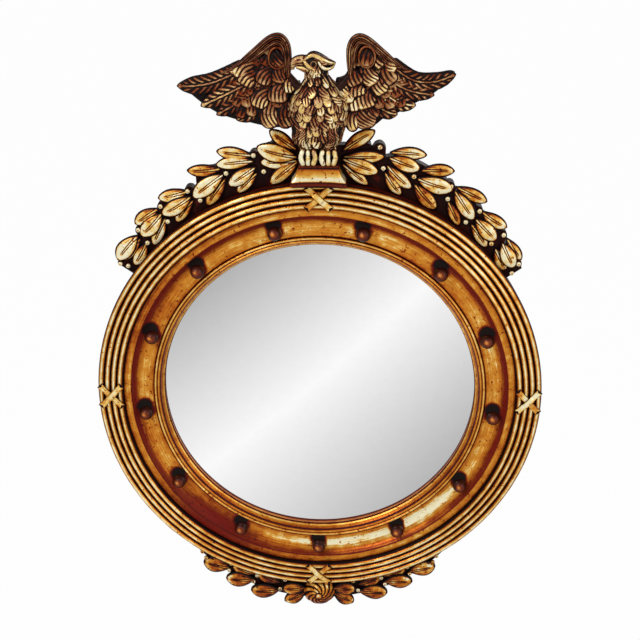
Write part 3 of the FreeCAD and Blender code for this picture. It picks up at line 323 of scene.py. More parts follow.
class Carving:
    # Closed skins that become one mesh. relief and tone are what the gilding is painted by.
    def __init__(self):
        self.points, self.faces, self.relief, self.tone = [], [], [], []
        self.count = 0

    def sheet(self, grid, relief, tone=0.5, closedRows=False):
        # Rings of points, closed across. The first and last rings are capped unless they join.
        rows, columns = grid.shape[:2]
        at = self.count + np.arange(rows * columns).reshape(rows, columns)
        following = np.roll(at, -1, 1)
        last = rows if closedRows else rows - 1
        for row in range(last):
            up = (row + 1) % rows
            self.faces += np.stack([at[row], following[row], following[up], at[up]], 1).tolist()
        if not closedRows:
            self.faces += [at[0][::-1].tolist(), at[-1].tolist()]
        self.points.append(grid.reshape(-1, 3))
        self.relief.append(np.broadcast_to(relief, (rows, columns)).reshape(-1))
        self.tone.append(np.broadcast_to(tone, (rows, columns)).reshape(-1))
        self.count += rows * columns

    def finish(self, name, material, slot, replaced, rounded=True):
        mesh = bpy.data.meshes.new(name)
        mesh.from_pydata((np.vstack(self.points) / 1000).tolist(), [], self.faces)
        for key, values in (("relief", self.relief), ("tone", self.tone)):
            layer = mesh.attributes.new(key, "FLOAT", "POINT")
            layer.data.foreach_set("value", np.concatenate(values).astype(np.float32))
        work = bmesh.new()
        work.from_mesh(mesh)
        bmesh.ops.recalc_face_normals(work, faces=work.faces)
        for face in work.faces:
            face.smooth = rounded
        work.to_mesh(mesh)
        work.free()
        mesh.materials.append(material)
        piece = bpy.data.objects.new(name, mesh)
        bpy.context.scene.collection.objects.link(piece)
        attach(piece, "frame")
        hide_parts(replaced)
        return piece


def dished(carving, profile, steps):
    # A solid disc, from the middle of its face to the middle of its back.
    angle = np.linspace(0, 2 * math.pi, steps, endpoint=False)[None, :]
    radius, stand, relief = (np.array(profile, float)[:, k][:, None] for k in range(3))
    grid = np.stack([radius * np.sin(angle), -stand + 0 * angle, radius * np.cos(angle)], 2)
    carving.sheet(grid, relief)


def turned(carving, profile, steps, middle=(0, 0), change=None):
    # A closed section of (radius, stand, relief) points, turned about an axis out of the wall.
    profile = np.array(profile, float)
    angle = np.linspace(0, 2 * math.pi, steps, endpoint=False)[:, None]
    radius, stand, relief = (np.repeat(profile[None, :, k], steps, 0) for k in range(3))
    if change:
        radius, stand, relief = change(angle, radius, stand, relief)
    grid = np.stack([middle[0] + radius * np.sin(angle), -stand,
                     middle[1] + radius * np.cos(angle)], 2)
    carving.sheet(grid, relief, closedRows=True)


def tube(carving, path, sizes, out, rows=20, sides=14, relief=0.6, tone=0.5, ridges=None,
         under=0.35):
    # An oval bar along a line. sizes are (half width, half height) at points along it, and out is
    # the way that the height goes. ridges gives growth and paint, and under darkens the back.
    line, length = throughPoints(path, rows)
    along = np.linspace(0, 1, rows)[:, None]
    sizes = np.array(sizes, float)
    marks = np.linspace(0, 1, len(sizes))
    wide, high = (np.interp(along[:, 0], marks, sizes[:, k])[:, None] for k in (0, 1))
    heading = unit(np.gradient(line, axis=0))
    side = unit(np.cross(heading, np.broadcast_to(out, line.shape)))
    up = np.cross(side, heading)
    turn = np.linspace(0, 2 * math.pi, sides, endpoint=False)[None, :]
    grow, paint = ridges(along, turn, length) if ridges else (1.0, 0.0)
    grid = (line[:, None] + side[:, None] * (wide * np.cos(turn) * grow)[..., None]
            + up[:, None] * (high * np.sin(turn) * grow)[..., None])
    shade = relief + paint - under * (np.sin(turn) < -0.2) + 0 * along
    carving.sheet(grid, shade, tone)


fineColumns = [0.045, 0.09, 0.135, 0.19, 0.28, 0.4, 0.54, 0.68, 0.79, 0.87, 0.94, 1]
fineColumns = [-c for c in fineColumns[::-1]] + [0] + fineColumns
plainColumns = [-1, -0.92, -0.82, -0.68, -0.52, -0.36, -0.2, -0.07, 0.07, 0.2, 0.36, 0.52, 0.68,
                0.82, 0.92, 1]
broadColumns = np.linspace(-1, 1, 31)


def blade(carving, path, half, out, style, rows=24, thick=3.0, tone=0.5, columns=plainColumns,
          tilt=0.0):
    # A leaf or feather along a line: a crowned, grooved front and a flat back.
    line, length = throughPoints(path, rows)
    heading = unit(np.gradient(line, axis=0))
    side = unit(np.cross(heading, np.broadcast_to(out, line.shape)))
    up = np.cross(side, heading)
    along = np.linspace(0, 1, rows)[:, None]
    across = np.array(columns)[None, :]
    share, height, relief = style(along, across, length, half)
    wide = half * share
    height = height + tilt * across * share
    front = (line[:, None] + side[:, None] * (wide * across)[..., None]
             + up[:, None] * height[..., None])
    back = [line + side * wide * edge - up * thick for edge in (0.9, -0.9)]
    grid = np.concatenate([front, np.stack(back, 1)], 1)
    shade = np.concatenate([relief, np.full((rows, 2), 0.3)], 1)
    carving.sheet(grid, shade, tone)


def outlined(along, size, length, half, share, line):
    # Dark along the two edges and round the tip, with the line's width in millimetres.
    gap = (1 - size) * half * share
    return soft(0.4 * line, line, gap) * soft(0.2 * line, 1.3 * line, (1 - along) * length)


def leafStyle(crown):
    # A broad leaf with two cut lines beside its midrib.
    lean = chance.uniform(-0.12, 0.12)

    def style(along, across, length, half):
        share = np.maximum(np.sin(math.pi * along ** 1.22) ** 0.6, 0.09)
        size = np.abs(across)
        apart = size * half * share                      # from the midrib, in millimetres
        groove = np.exp(-((apart - 1.7 * (1 - 0.6 * along)) / 0.62) ** 4)
        groove = groove * soft(0.84, 0.72, along) * (half > 6)
        body = 1 - size ** 3.4
        wave = 0.12 * np.sin(along * 9 + across * 2.3)
        height = crown * share ** 0.6 * (body - 0.4 * groove) + wave * share * body
        relief = 0.62 + 0.24 * body + 0.1 * np.sin(along * 7 + size * 3) + lean * across
        relief = relief * (1 - 0.95 * groove) - 0.2 * soft(0.35, 0.1, along)
        slit = np.exp(-((apart - 0.5 * half * np.sin(math.pi * along)) / 0.4) ** 2)
        relief = relief * (1 - 0.55 * slit * soft(0.5, 0.35, along))
        relief = relief * outlined(along, size, length, half, share, 3.0)
        return share, height, relief
    return style


def quillStyle(crown, pitch=8.8, slant=1.7, tip=0.36):
    # A long feather: a pale quill between two dark lines, and slanting barbs.
    shift = chance.uniform(0, 3)

    def style(along, across, length, half):
        start = np.minimum(1, (along / 0.1 + 0.3) ** 0.6)
        end = np.clip(1 - (np.maximum(along - (1 - tip), 0) / tip) ** 2, 0.003, 1) ** 0.7
        share = start * end
        size = np.abs(across)
        apart = size * half * share
        groove = np.exp(-((apart - 1.9) / 0.9) ** 4) * soft(0.97, 0.88, along)
        phase = (along * length - size * half * slant * (1 - 0.25 * size)) / pitch
        phase = phase + 0.4 * np.sign(across) + shift + 0.12 * np.sin(along * 13 + across * 3)
        barb = np.abs(np.sin(phase * math.pi))
        cut = np.exp(-(barb / 0.72) ** 4) * soft(1.6, 2.6, apart)
        body = 1 - size ** 4
        height = crown * (body - 0.35 * groove - 0.4 * cut) * share ** 0.5
        relief = 0.5 + 0.26 * body + 0.2 * soft(0.6, 1, barb) * soft(0.9, 0.3, size)
        relief = relief * (1 - 0.88 * cut) * (1 - 0.97 * groove)
        relief = relief * outlined(along, size, length, half, share, 2.2)
        return share, height, relief
    return style


def scaleStyle(crown, spacing=5.0, slant=0.4, point=0.0, widest=0.62, line=1.9, clear=0.7):
    # A short feather, broadest near its end, with a few slanting strokes cut from its root.
    shift = chance.uniform(0, 1)

    def style(along, across, length, half):
        start = 0.34 + 0.66 * soft(-0.1, widest, along)
        end = np.clip(1 - (np.maximum(along - widest, 0) / (1 - widest)) ** 2, 0.003, 1)
        share = start * end ** (0.5 + point)
        size = np.abs(across)
        aside = across * half * share                    # both in millimetres
        ahead = along * length
        drift = aside * math.cos(slant) - ahead * math.sin(slant) + 0.02 * (ahead - 6) ** 2
        stroke = np.abs(np.sin((drift / spacing + shift) * math.pi))
        reach = clear + 0.14 * np.sin(drift * 1.3 + shift * 6)
        cut = np.exp(-(stroke / 0.6) ** 4) * soft(reach + 0.06, reach - 0.06, along)
        cut = cut * soft(0.92, 0.7, size)
        body = 1 - size ** 4
        height = crown * (body - 0.4 * cut) * (0.5 + 0.5 * soft(0, 0.6, along)) * share ** 0.5
        relief = (0.42 + 0.18 * body + 0.34 * soft(0.1, 0.8, along)) * (1 - 0.92 * cut)
        relief = relief * outlined(along, size, length, half, share, line)
        return share, height, relief
    return style


# Profiles are points of (radius, stand, relief), from the front's inner edge outwards.
reedValues = {
    "edge": 266.4, "count": 4, "rise": 3.6, "groove": 49.0, "steps": 480,
    "side": [(299.9, 48.6, 0.12), (300, 46.2, 0.2), (298.7, 44.6, 0.1), (298.5, 40, 0.24),
             (298.6, 32, 0.28), (298.5, 24, 0.24), (298.4, 20.2, 0.16), (296.4, 17, 0.14)],
    "back": [(294, 14.1, 0.08), (270, 14.1, 0.05), (262.5, 14.1, 0.05), (262.4, 29.8, 0.05),
             (266.2, 30, 0.05), (266.3, 47.6, 0.04)],
}


def reededRing():
    v = reedValues
    width = (ringRadius - v["edge"]) / v["count"]
    profile = []
    for reed in range(v["count"]):
        start = v["edge"] + reed * width
        for u in np.linspace(-1, 1, 17)[:-1]:
            rise = (1 - abs(u) ** 2.1) * v["rise"] - 1.1 * math.exp(-((1 - abs(u)) / 0.12) ** 2)
            # paint is dark in the grooves and carries a painted highlight along each reed's crest.
            paint = (0.63 + 0.36 * math.exp(-(u / 0.32) ** 2)) * float(soft(0.9, 0.45, abs(u)))
            profile.append((start + (u + 1) / 2 * width, v["groove"] + rise, paint))

    def handCut(angle, radius, stand, relief):
        wave = 0.16 * np.sin(angle * 37 + radius * 0.8) + 0.12 * np.sin(angle * 83 - radius)
        front = stand > v["groove"] - 1
        stand = stand + np.where(front, wave, 0)
        nicks = soft(0.7, 1, np.sin(angle * 29 + radius * 2.1) * np.sin(angle * 71 + radius * 0.7))
        return radius, stand - 0.5 * nicks * front, relief * (1 - 0.3 * nicks * front)

    carving = Carving()
    turned(carving, profile + v["side"] + v["back"], v["steps"], change=handCut)
    carving.finish("reededFrame", frameGilt, "frame_gilt", "reeded_ring")


coveValues = {
    "circle": 239.0, "ballCount": 13, "steps": 780,
    "profile": [(226.6, 30.1, 0.1), (226.6, 36.4, 0.2), (227.4, 36.8, 0.56), (229.5, 36.4, 0.72),
                (232, 36.1, 0.78), (235, 35.8, 0.8), (239, 35.7, 0.82), (243, 36.0, 0.8),
                (245.5, 36.7, 0.72), (247.4, 37.5, 0.6), (249.6, 38.7, 0.44), (251.5, 40.1, 0.3),
                (253, 41.8, 0.24), (254.6, 43.4, 0.3), (255.5, 44.6, 0.12), (256.3, 45.1, 0.5),
                (257.4, 45.2, 0.76), (260, 45.2, 0.78), (263, 45.1, 0.68), (265, 45.1, 0.5),
                (266, 44.8, 0.08), (266, 30.1, 0.05), (246, 30.1, 0.05)],
    # the worn places, rubbed down to the clay at the lower left (3.78), and a painted shade on the
    # upper left (5.2): (way round from the top, how far it spreads, strength)
    "worn": [(3.78, 0.4, 1.0), (5.2, 0.3, 0.5)],
}
ballAngles = np.radians(180 + 360 / coveValues["ballCount"] * np.arange(coveValues["ballCount"]))


def coveRing():
    v = coveValues

    def shadowsHighlightsAndWear(angle, radius, stand, relief):
        # Painted shadows of the balls, around and above each one; a painted highlight on the floor
        # at the bottom of the ring; painted light on the lower wall; and the worn places.
        across, up = radius * np.sin(angle), radius * np.cos(angle)
        for centre in ballAngles:
            gap = np.hypot(across - v["circle"] * math.sin(centre),
                           up - v["circle"] * math.cos(centre))
            above = np.hypot(across - (v["circle"] + 1) * math.sin(centre) + 1.5,
                             up - (v["circle"] + 1) * math.cos(centre) - 7.5)
            # A painted shadow of each ball on the cove, round the ball and above it.
            ballShadow = np.maximum(soft(13.5, 9.5, gap) * 0.8, soft(13.5, 9, above))
            relief = relief * (1 - 0.95 * ballShadow * (stand > 30.5) * (radius < 255.4))
        # bright is a painted highlight on the cove's floor at the bottom of the ring.
        bright = soft(0.5, 0.96, np.cos(angle - 2.9)) * np.exp(-((radius - v["circle"]) / 6) ** 2)
        worn = 0                                  # rubbed down to the clay at the lower left, painted shade at the upper left
        for middle, spread, strength in v["worn"]:
            away = np.angle(np.exp(1j * (angle - middle)))
            worn = worn + strength * np.exp(-(away / spread) ** 2)
        relief = relief + 0.42 * bright * (relief > 0.5)
        share = np.clip(worn, 0, 1) * (0.55 + 0.45 * soft(232, 246, radius)) * (relief > 0.2)
        relief = relief * (1 - share) + 0.27 * share
        # lit is painted light on the wall round the lower half, where it faces up.
        lit = soft(0, 1, -np.cos(angle)) * (radius > 246) * (radius < 255)
        relief = relief + 0.2 * lit * (1 - worn)
        return radius, stand, np.clip(relief, 0, 1.1)

    carving = Carving()
    turned(carving, v["profile"], v["steps"], change=shadowsHighlightsAndWear)
    carving.finish("coveRing", coveGilt, "frame_gilt", "cavetto_ring")


slipValues = {
    "steps": 360,
    "profile": [(212.6, 27.7, 0.1), (212.6, 29, 0.5), (213.6, 29.4, 0.86), (215, 31, 0.6),
                (216.5, 33.6, 0.5), (217.4, 36.2, 0.05), (218, 37.6, 0.4), (219, 38.5, 0.66),
                (219.8, 38.6, 0.7), (220.7, 38.3, 0.6), (221.5, 37.2, 0.04), (222.2, 38.3, 0.5),
                (223.2, 39.2, 0.8), (224, 39.4, 0.86), (224.9, 39.1, 0.62), (226, 37.6, 0.04),
                (226.1, 30.1, 0.05), (220, 30, 0.05), (219.8, 27.7, 0.05)],
}


def sightSlip():
    carving = Carving()
    turned(carving, slipValues["profile"], slipValues["steps"])
    carving.finish("sightSlip", frameGilt, "frame_gilt", "sight_slip")


glassValues = {"apex": 52.8, "curve": 900.0, "radius": 218.8, "thick": 3.9, "steps": 240}


def convexGlass():
    v = glassValues
    face = [(r, v["apex"] - v["curve"] + math.sqrt(v["curve"] ** 2 - r * r),
             1 - float(soft(165, 217, r))) for r in np.linspace(1.2, v["radius"], 46)]
    back = [(r, stand - v["thick"], middle) for r, stand, middle in face[::-1]]
    carving = Carving()
    dished(carving, face + back, v["steps"])
    carving.finish("mirrorGlass", mirrorSilver, "mirror_glass", "convex_glass")


ballValues = {"radius": 9.45, "stand": 45.5, "steps": 40,
              "peg": [(4.4, 37.2, 0.1), (4.6, 36.0, 0.1), (3, 36, 0.1), (2.9, 30.6, 0.1),
                      (0.25, 30.6, 0.1)]}


def turnedBalls():
    v = ballValues
    profile = [(0.25, v["stand"] + v["radius"], 0.9)]
    # The relief is a painted shading: lightest at the front and dark round the ball's sides.
    for tilt in np.radians(np.arange(78, -64, -7.5)):
        ridge = 0.06 * math.sin(tilt * 60)           # left by the lathe
        profile.append(((v["radius"] + ridge) * math.cos(tilt),
                        v["stand"] + v["radius"] * math.sin(tilt),
                        0.16 + 0.62 * max(0, math.sin(tilt + 0.1)) ** 2.5))

    def paintedHighlight(way, reach, stand, relief):           # a painted highlight, up and to the left on the ball's front
        spot = np.exp(-((reach * np.sin(way) + 2.5) ** 2 + (reach * np.cos(way) - 2) ** 2) / 7)
        return reach, stand, relief + 0.5 * spot * (stand > v["stand"] + 1.5)

    for number, angle in enumerate(ballAngles, 1):
        carving = Carving()
        middle = (coveValues["circle"] * math.sin(angle), coveValues["circle"] * math.cos(angle))
        turned(carving, profile + v["peg"], v["steps"], middle, paintedHighlight)
        ball = carving.finish(f"turnedBall{number:02d}", lacquer, "dark_ball", f"ball_{number:02d}")
        ball.visible_glossy = False         # the photographed glass shows no frame in it


tieValues = {"half": 22.0, "width": 8.0, "thick": 1.7, "turn": 43.0, "inset": 18.0,
             "notch": 3.2, "base": 52.9}


def ribbonTie(name, angle, node):
    v = tieValues
    carving = Carving()
    turn = math.radians(angle)
    radial = np.array([math.sin(turn), 0, math.cos(turn)])
    tangent = np.array([math.cos(turn), 0, -math.sin(turn)])
    middle = radial * (ringRadius - v["inset"])
    for way in (1, -1):                         # the second strap crosses over the first
        lean = math.radians(v["turn"]) * way
        ahead = tangent * math.cos(lean) + radial * math.sin(lean)
        aside = radial * math.cos(lean) - tangent * math.sin(lean)
        along = np.linspace(-1, 1, 41)[:, None]
        across = np.linspace(-1, 1, 13)[None, :]
        flare = 1 + 0.12 * soft(0.55, 1, np.abs(along))
        notch = v["notch"] * (1 - np.abs(across)) * soft(0.8, 1, np.abs(along)) * np.sign(along)
        run = along * v["half"] - notch
        lift = (1.9 if way < 0 else 0) * soft(9.5, 4.5, np.abs(along * v["half"]))
        sag = 0.5 * soft(0.5, 1, np.abs(along))
        rim = 0.35 * np.exp(-((np.abs(across) - 0.8) / 0.13) ** 2)
        top = v["base"] + v["thick"] - 0.3 + lift - sag + rim + 0 * across
        wide = v["width"] / 2 * flare * across
        front = middle + ahead * run[..., None] + aside * wide[..., None]
        front[..., 1] = -top
        back = front[:, ::-1].copy()[:, [0, -1]]
        back[..., 1] = -(v["base"] + lift - sag)
        paint = 0.8 - 0.1 * np.exp(-((np.abs(across) - 0.62) / 0.1) ** 2)
        paint = paint - 0.08 * soft(0.3, 1, np.abs(along))
        paint = paint * soft(0.98, 0.8, np.abs(across)) * soft(1, 0.95, np.abs(along))
        carving.sheet(np.concatenate([front, back], 1),
                      np.concatenate([paint, np.zeros((41, 2))], 1), 0.66 if way < 0 else 0.5)
    carving.finish(name, leafGilt, "frame_gilt", node)


reededRing()
coveRing()
sightSlip()
convexGlass()
turnedBalls()
ribbonTie("tieTop", 0, "ribbon_top")
ribbonTie("tieBottom", 180, "ribbon_bottom")
ribbonTie("tieRight", 90, "ribbon_right")
ribbonTie("tieLeft", -90, "ribbon_left")
print("round frame made")


# Clusters: angle from the top, then leaves as (root above the ring's edge, turn, length, width).
sprayValues = {
    "left": [(4.5, [(40, 41, 44, 14), (32, 18, 54, 19), (27, 2, 49, 15), (27, -35, 48, 15)]),
             (14.0, [(42, 21, 47, 14), (35, 8, 50, 14), (28, -20, 43, 16), (20, -31, 38, 13)]),
             (21.3, [(38, 18, 45, 13), (31, -16, 51, 18), (25, -34, 45, 15)]),
             (30.3, [(30, 17, 41, 14), (23, -1, 46, 17), (17, -21, 39, 13)]),
             (38.3, [(33, 5, 38, 15), (26, -8, 42, 18), (18, -26, 42, 14)]),
             (46.2, [(25, -3, 44, 18), (20, -5, 40, 14), (11, -14, 36, 14)])],
    "right": [(4.9, [(40, 38, 49, 15), (33, 6, 55, 14), (31, -15, 50, 16), (25, -34, 45, 12)]),
              (14.7, [(49, 11, 47, 13), (43, -5, 43, 16), (33, -28, 45, 14), (24, -39, 38, 12)]),
              (22.0, [(39, 22, 44, 14), (29, 6, 49, 18), (21, -26, 44, 16)]),
              (30.5, [(41, 5, 45, 14), (37, -25, 47, 16), (21, -33, 38, 12)]),
              (38.3, [(34, 6, 40, 14), (22, -7, 40, 17), (13, -17, 39, 13)]),
              (46.8, [(31, -8, 36, 12), (23, -16, 38, 17), (11, -17, 34, 14)])],
    "leftBerries": [(12.6, 20), (13.9, 43), (20.8, 31), (29.0, 13), (30.4, 31), (37.5, 34),
                    (38.5, 13), (45.1, 30), (45.9, 10), (53.7, 10), (54.4, 20)],
    "rightBerries": [(12.5, 53), (14.3, 28), (21.3, 30), (29.5, 39), (30.4, 23), (37.1, 11),
                     (37.9, 33), (45.3, 12), (45.7, 31), (53.4, 22), (54.4, 8)],
    "apron": [(3.6, [(17, 4, 34, 15), (27, 30, 34, 15)]),
              (10.3, [(16, -17, 38, 14), (27, 10, 42, 17)]),
              (17.3, [(10, -8, 38, 14), (18, 14, 42, 17)]),
              (24.6, [(5, -9, 38, 14), (13, 8, 40, 17)])],
    "apronBerries": [(9.3, 7), (10.2, 24), (17.0, 10), (17.4, 22), (24.8, 5), (24.6, 17),
                     (31.6, 14), (33.4, 8)],
    "seat": 34.2, "berry": 3.1, "leafWide": 1.32, "apronWide": 1.5,
}


def berry(carving, middle, radius, tone=0.5):
    # A bead with a dark pip. middle is (across, stand, up).
    tilt = np.radians(np.linspace(-80, 80, 9))[:, None]
    turn = np.radians(np.arange(0, 360, 30))[None, :]
    dent = 1 - 0.12 * soft(60, 80, np.degrees(tilt))
    grid = np.stack([middle[0] + radius * np.cos(tilt) * np.cos(turn),
                     -(middle[1] + radius * dent * np.sin(tilt) + 0 * turn),
                     middle[2] + radius * np.cos(tilt) * np.sin(turn)], 2)
    # shade is a painted shading: light on the front, dark towards the sides and back, with the dark
    # pip at the front.
    shade = 0.15 + 0.8 * soft(-0.2, 0.5, np.sin(tilt)) - 0.5 * soft(76, 80, np.degrees(tilt))
    carving.sheet(grid, shade + 0 * turn, tone)


def leafAt(carving, root, heading, length, half, base, tone, crown, bend):
    seat = sprayValues["seat"]
    ahead = np.array([math.cos(heading), 0, math.sin(heading)])
    aside = np.array([-ahead[2], 0, ahead[0]])
    path = []
    for share, rise in ((0, 0.2), (0.3, 1.6), (0.65, 2.2), (1, 1.0)):
        point = root + ahead * length * share + aside * bend * math.sin(share * math.pi)
        path.append(point + np.array([0, -(base + rise), 0]))
    blade(carving, path, half, (0, -1, 0), leafStyle(crown), rows=38,
          thick=base - seat + 1.8 if base > seat + 1 else 2.2, tone=tone, columns=fineColumns,
          tilt=chance.uniform(-0.9, 0.9))


leafEdges = []          # (degrees from the top, radius) of the points of every crest leaf
berrySeats = []         # the same for the outer side of every crest berry


def spray(name, clusters, berries, way, bottom, finish, node, tones):
    # way is -1 at the left and 1 at the right. bottom turns the spray over for the apron.
    v = sprayValues
    carving = Carving()
    upDown = -1 if bottom else 1
    for angle, leaves in clusters:
        heart = max(range(len(leaves)), key=lambda k: leaves[k][3])      # the widest lies on top
        round_ = math.radians(angle)
        for number, (rise, turn, length, width) in enumerate(leaves):
            reach = ringRadius + rise
            root = np.array([way * reach * math.sin(round_), 0, upDown * reach * math.cos(round_)])
            heading = math.radians(turn - angle if way > 0 else 180 - turn + angle) * upDown
            main = number == heart
            tone = tones[0 if main else 1] + chance.uniform(-0.3, 0.3)
            half = width / 2 * v["apronWide" if bottom else "leafWide"]
            base = v["seat"] + (3.4 if main else 0.9 + 0.5 * (number % 2))
            leafAt(carving, root, heading, length, half, base, tone, 2.9 if main else 2.4,
                   chance.uniform(-1.6, 1.6))
    if not bottom:
        points = np.vstack(carving.points)
        leafEdges.append(np.stack([np.degrees(np.arctan2(points[:, 0], points[:, 2])),
                                   np.hypot(points[:, 0], points[:, 2])], 1))
    for angle, rise in berries:
        reach, round_ = ringRadius + rise, math.radians(angle)
        if not bottom:
            berrySeats.append((way * angle, reach + 4.5))
        berry(carving, (way * reach * math.sin(round_), 38.3, upDown * reach * math.cos(round_)),
              v["berry"], 0.75)
    carving.finish(name, finish, "leaf_gilt", node)


spray("laurelLeft", sprayValues["left"], sprayValues["leftBerries"], -1, False, leafGilt,
      "laurel_spray_left", (0.85, 0.42))
spray("laurelRight", sprayValues["right"], sprayValues["rightBerries"], 1, False, leafGilt,
      "laurel_spray_right", (0.8, 0.36))
spray("apronLeavesLeft", sprayValues["apron"], sprayValues["apronBerries"], -1, True, apronGilt,
      "apron_spray_left", (0.5, 0.3))
spray("apronLeavesRight", sprayValues["apron"], sprayValues["apronBerries"], 1, True, apronGilt,
      "apron_spray_right", (0.5, 0.3))

boardValues = {
    "end": 55.0, "inner": ringRadius - 1.2, "least": 322.0, "lap": 4.5, "back": 14.1,
    "front": 33.9, "saddleEnd": 7.0, "saddle": 346.0,
    "tongue": [(-20, 345), (-20, 392), (-16, 395), (16, 395), (20, 392), (20, 345)],
}


def crestBoard():
    # The board is fretted to the outline of the leaves, inside the plain board's own outline.
    v = boardValues
    plain = np.array([p.co[:] for p in nodes["crest_board"].data.vertices]) * 1000
    plainAngle = np.degrees(np.arctan2(plain[:, 0], plain[:, 2]))
    plainRadius = np.hypot(plain[:, 0], plain[:, 2])
    rim = plainRadius > v["least"] - 1
    order = np.argsort(plainAngle[rim])
    angles = np.arange(-v["end"], v["end"] + 0.01, 0.4)
    limit = np.interp(angles, plainAngle[rim][order], plainRadius[rim][order])
    edges = np.vstack(leafEdges)
    reach = []
    for angle in angles:
        near = np.abs(edges[:, 0] - angle) < 0.6
        reach.append(edges[near, 1].max() if near.any() else v["least"])
    low = [min(reach[max(k - 3, 0):k + 4]) for k in range(len(reach))]     # leaf points stand free
    smooth = np.convolve(np.pad(low, 2, mode="edge"), np.ones(5) / 5, "valid")
    outer = np.clip(smooth - v["lap"], v["least"], np.maximum(limit - 0.3, v["least"]))
    for angle, radius in berrySeats:
        near = radius - 0.5 * (angles - angle) ** 2 * radius / 57
        outer = np.maximum(outer, np.where(np.abs(angles - angle) < 1.3, near, 0))
    hidden = np.abs(angles) < v["saddleEnd"]       # behind the plinth and the eagle
    level = v["saddle"] / np.cos(np.radians(angles))
    outer = np.where(hidden, np.minimum(limit, level), outer)
    turn = np.radians(angles)[:, None]
    radius = np.stack([0 * outer + v["inner"], outer - 1.2, outer, outer, outer - 1.2,
                       0 * outer + v["inner"]], 1)
    stand = np.array([[v["front"], v["front"], v["front"] - 1.2, v["back"] + 1.2, v["back"],
                       v["back"]]]) + 0 * turn
    grid = np.stack([radius * np.sin(turn), -stand, radius * np.cos(turn)], 2)
    carving = Carving()
    carving.sheet(grid, 0.3)
    carving.sheet(np.array([[(x, -stand, z) for x, z in v["tongue"]]
                            for stand in (v["back"], v["front"])]), 0.3)
    carving.finish("crestBoard", stainedBoard, "board_gilt", "crest_board", rounded=False)


crestBoard()

rosetteValues = {
    "up": -323.0, "radius": 23.3, "seat": 34.2, "rise": 15.5, "lobes": 10, "swirl": 3.6,
}


def swirlRosette():
    v = rosetteValues
    carving = Carving()
    share = np.concatenate([np.linspace(0.02, 0.97, 26), [1.0]])[None, :]
    angle = np.linspace(0, 2 * math.pi, 216, endpoint=False)[:, None]
    phase = v["lobes"] * angle + v["swirl"] * v["lobes"] * share * 0.55
    lobe = np.abs(np.sin(phase / 2))
    groove = np.exp(-(lobe / 0.44) ** 4) * soft(0.16, 0.3, share)
    edge = 1 + 0.05 * (lobe - 0.5) * soft(0.6, 1, share)
    radius = v["radius"] * share * edge
    dome = v["rise"] * (1 - share ** 2.4) + 1.2
    boss = 1.6 * np.sqrt(np.clip(1 - (share / 0.2) ** 2, 0, 1))
    moat = np.exp(-((share - 0.22) / 0.035) ** 2)
    height = dome - 2.6 * groove * (0.4 + share) + boss - 1.1 * moat
    # The cos(angle) term is painted light, lighter over the rosette's upper side.
    relief = 0.92 - 0.12 * share + 0.16 * (lobe - 0.8) + 0.12 * np.cos(angle)
    relief = relief * (1 - 0.95 * groove) * (1 - 0.9 * moat) * soft(1, 0.93, share)
    across = radius * np.sin(angle)
    up = v["up"] + radius * np.cos(angle)
    inside, least = np.hypot(across, up), ringRadius + 0.4      # it is cut to the ring's edge
    up = np.where(inside < least, up * least / inside, up)
    front = np.stack([across, -(v["seat"] + height), up], 2)
    back = front[:, [-1, 0]].copy()
    back[..., 1] = -v["seat"]
    grid = np.concatenate([front, back], 1)
    carving.sheet(grid, np.concatenate([relief, np.zeros((216, 2))], 1), 0.5, closedRows=True)
    carving.finish("swirlRosette", apronGilt, "leaf_gilt", "apron_rosette")


swirlRosette()
print("sprays made")


plinthValues = {
    "seat": 34.1, "foot": 35.5, "top": 24.5, "frontFoot": 63.0, "frontTop": 59.0, "up": 327.0,
    # The relief is painted light and shade: brightest where the flare faces up, darker on the
    # upright parts.
    # level, share of the flare, relief
    "levels": [(0, 1.0, 0.15), (0.04, 1.0, 0.3), (0.13, 1.0, 0.24), (0.17, 0.98, 0.1),
               (0.19, 0.9, 0.2), (0.23, 0.84, 0.9), (0.28, 0.74, 1.05), (0.36, 0.58, 1.02),
               (0.46, 0.42, 0.88), (0.58, 0.27, 0.72), (0.68, 0.17, 0.62), (0.75, 0.12, 0.5),
               (0.79, 0.1, 0.34), (0.82, 0.02, 0.12), (0.85, 0.0, 0.1), (0.88, 0.0, 0.34),
               (0.94, 0.0, 0.3), (0.97, 0.02, 0.22), (1.0, -0.08, 0.06)],
}


def mouldedPlinth():
    v = plinthValues
    carving = Carving()
    rings, shades = [], []
    side = np.linspace(-1, 1, 15)
    for level, flare, paint in v["levels"]:
        half = v["top"] + (v["foot"] - v["top"]) * flare
        front = v["frontTop"] + (v["frontFoot"] - v["frontTop"]) * flare
        outline = [(-half, v["seat"])]
        outline += [(-half, s) for s in np.linspace(v["seat"] + 4, front - 1.4, 7)]
        outline += [(-half + 0.35, front - 0.6), (-half + 0.7, front - 0.25)]
        outline += [(x * (half - 1.4), front) for x in side]
        outline += [(half - 0.7, front - 0.25), (half - 0.35, front - 0.6)]
        outline += [(half, s) for s in np.linspace(front - 1.4, v["seat"] + 4, 7)]
        outline += [(half, v["seat"])]
        ring = []
        for x, stand in outline:
            low = math.sqrt((ringRadius + 0.5) ** 2 - x * x)
            ring.append((x, -stand, low + (v["up"] - low) * level))
        rings.append(ring)
        shades.append([paint] * len(ring))
    carving.sheet(np.array(rings), np.array(shades), 0.62)
    carving.finish("mouldedPlinth", frameGilt, "frame_gilt", "plinth")


mouldedPlinth()


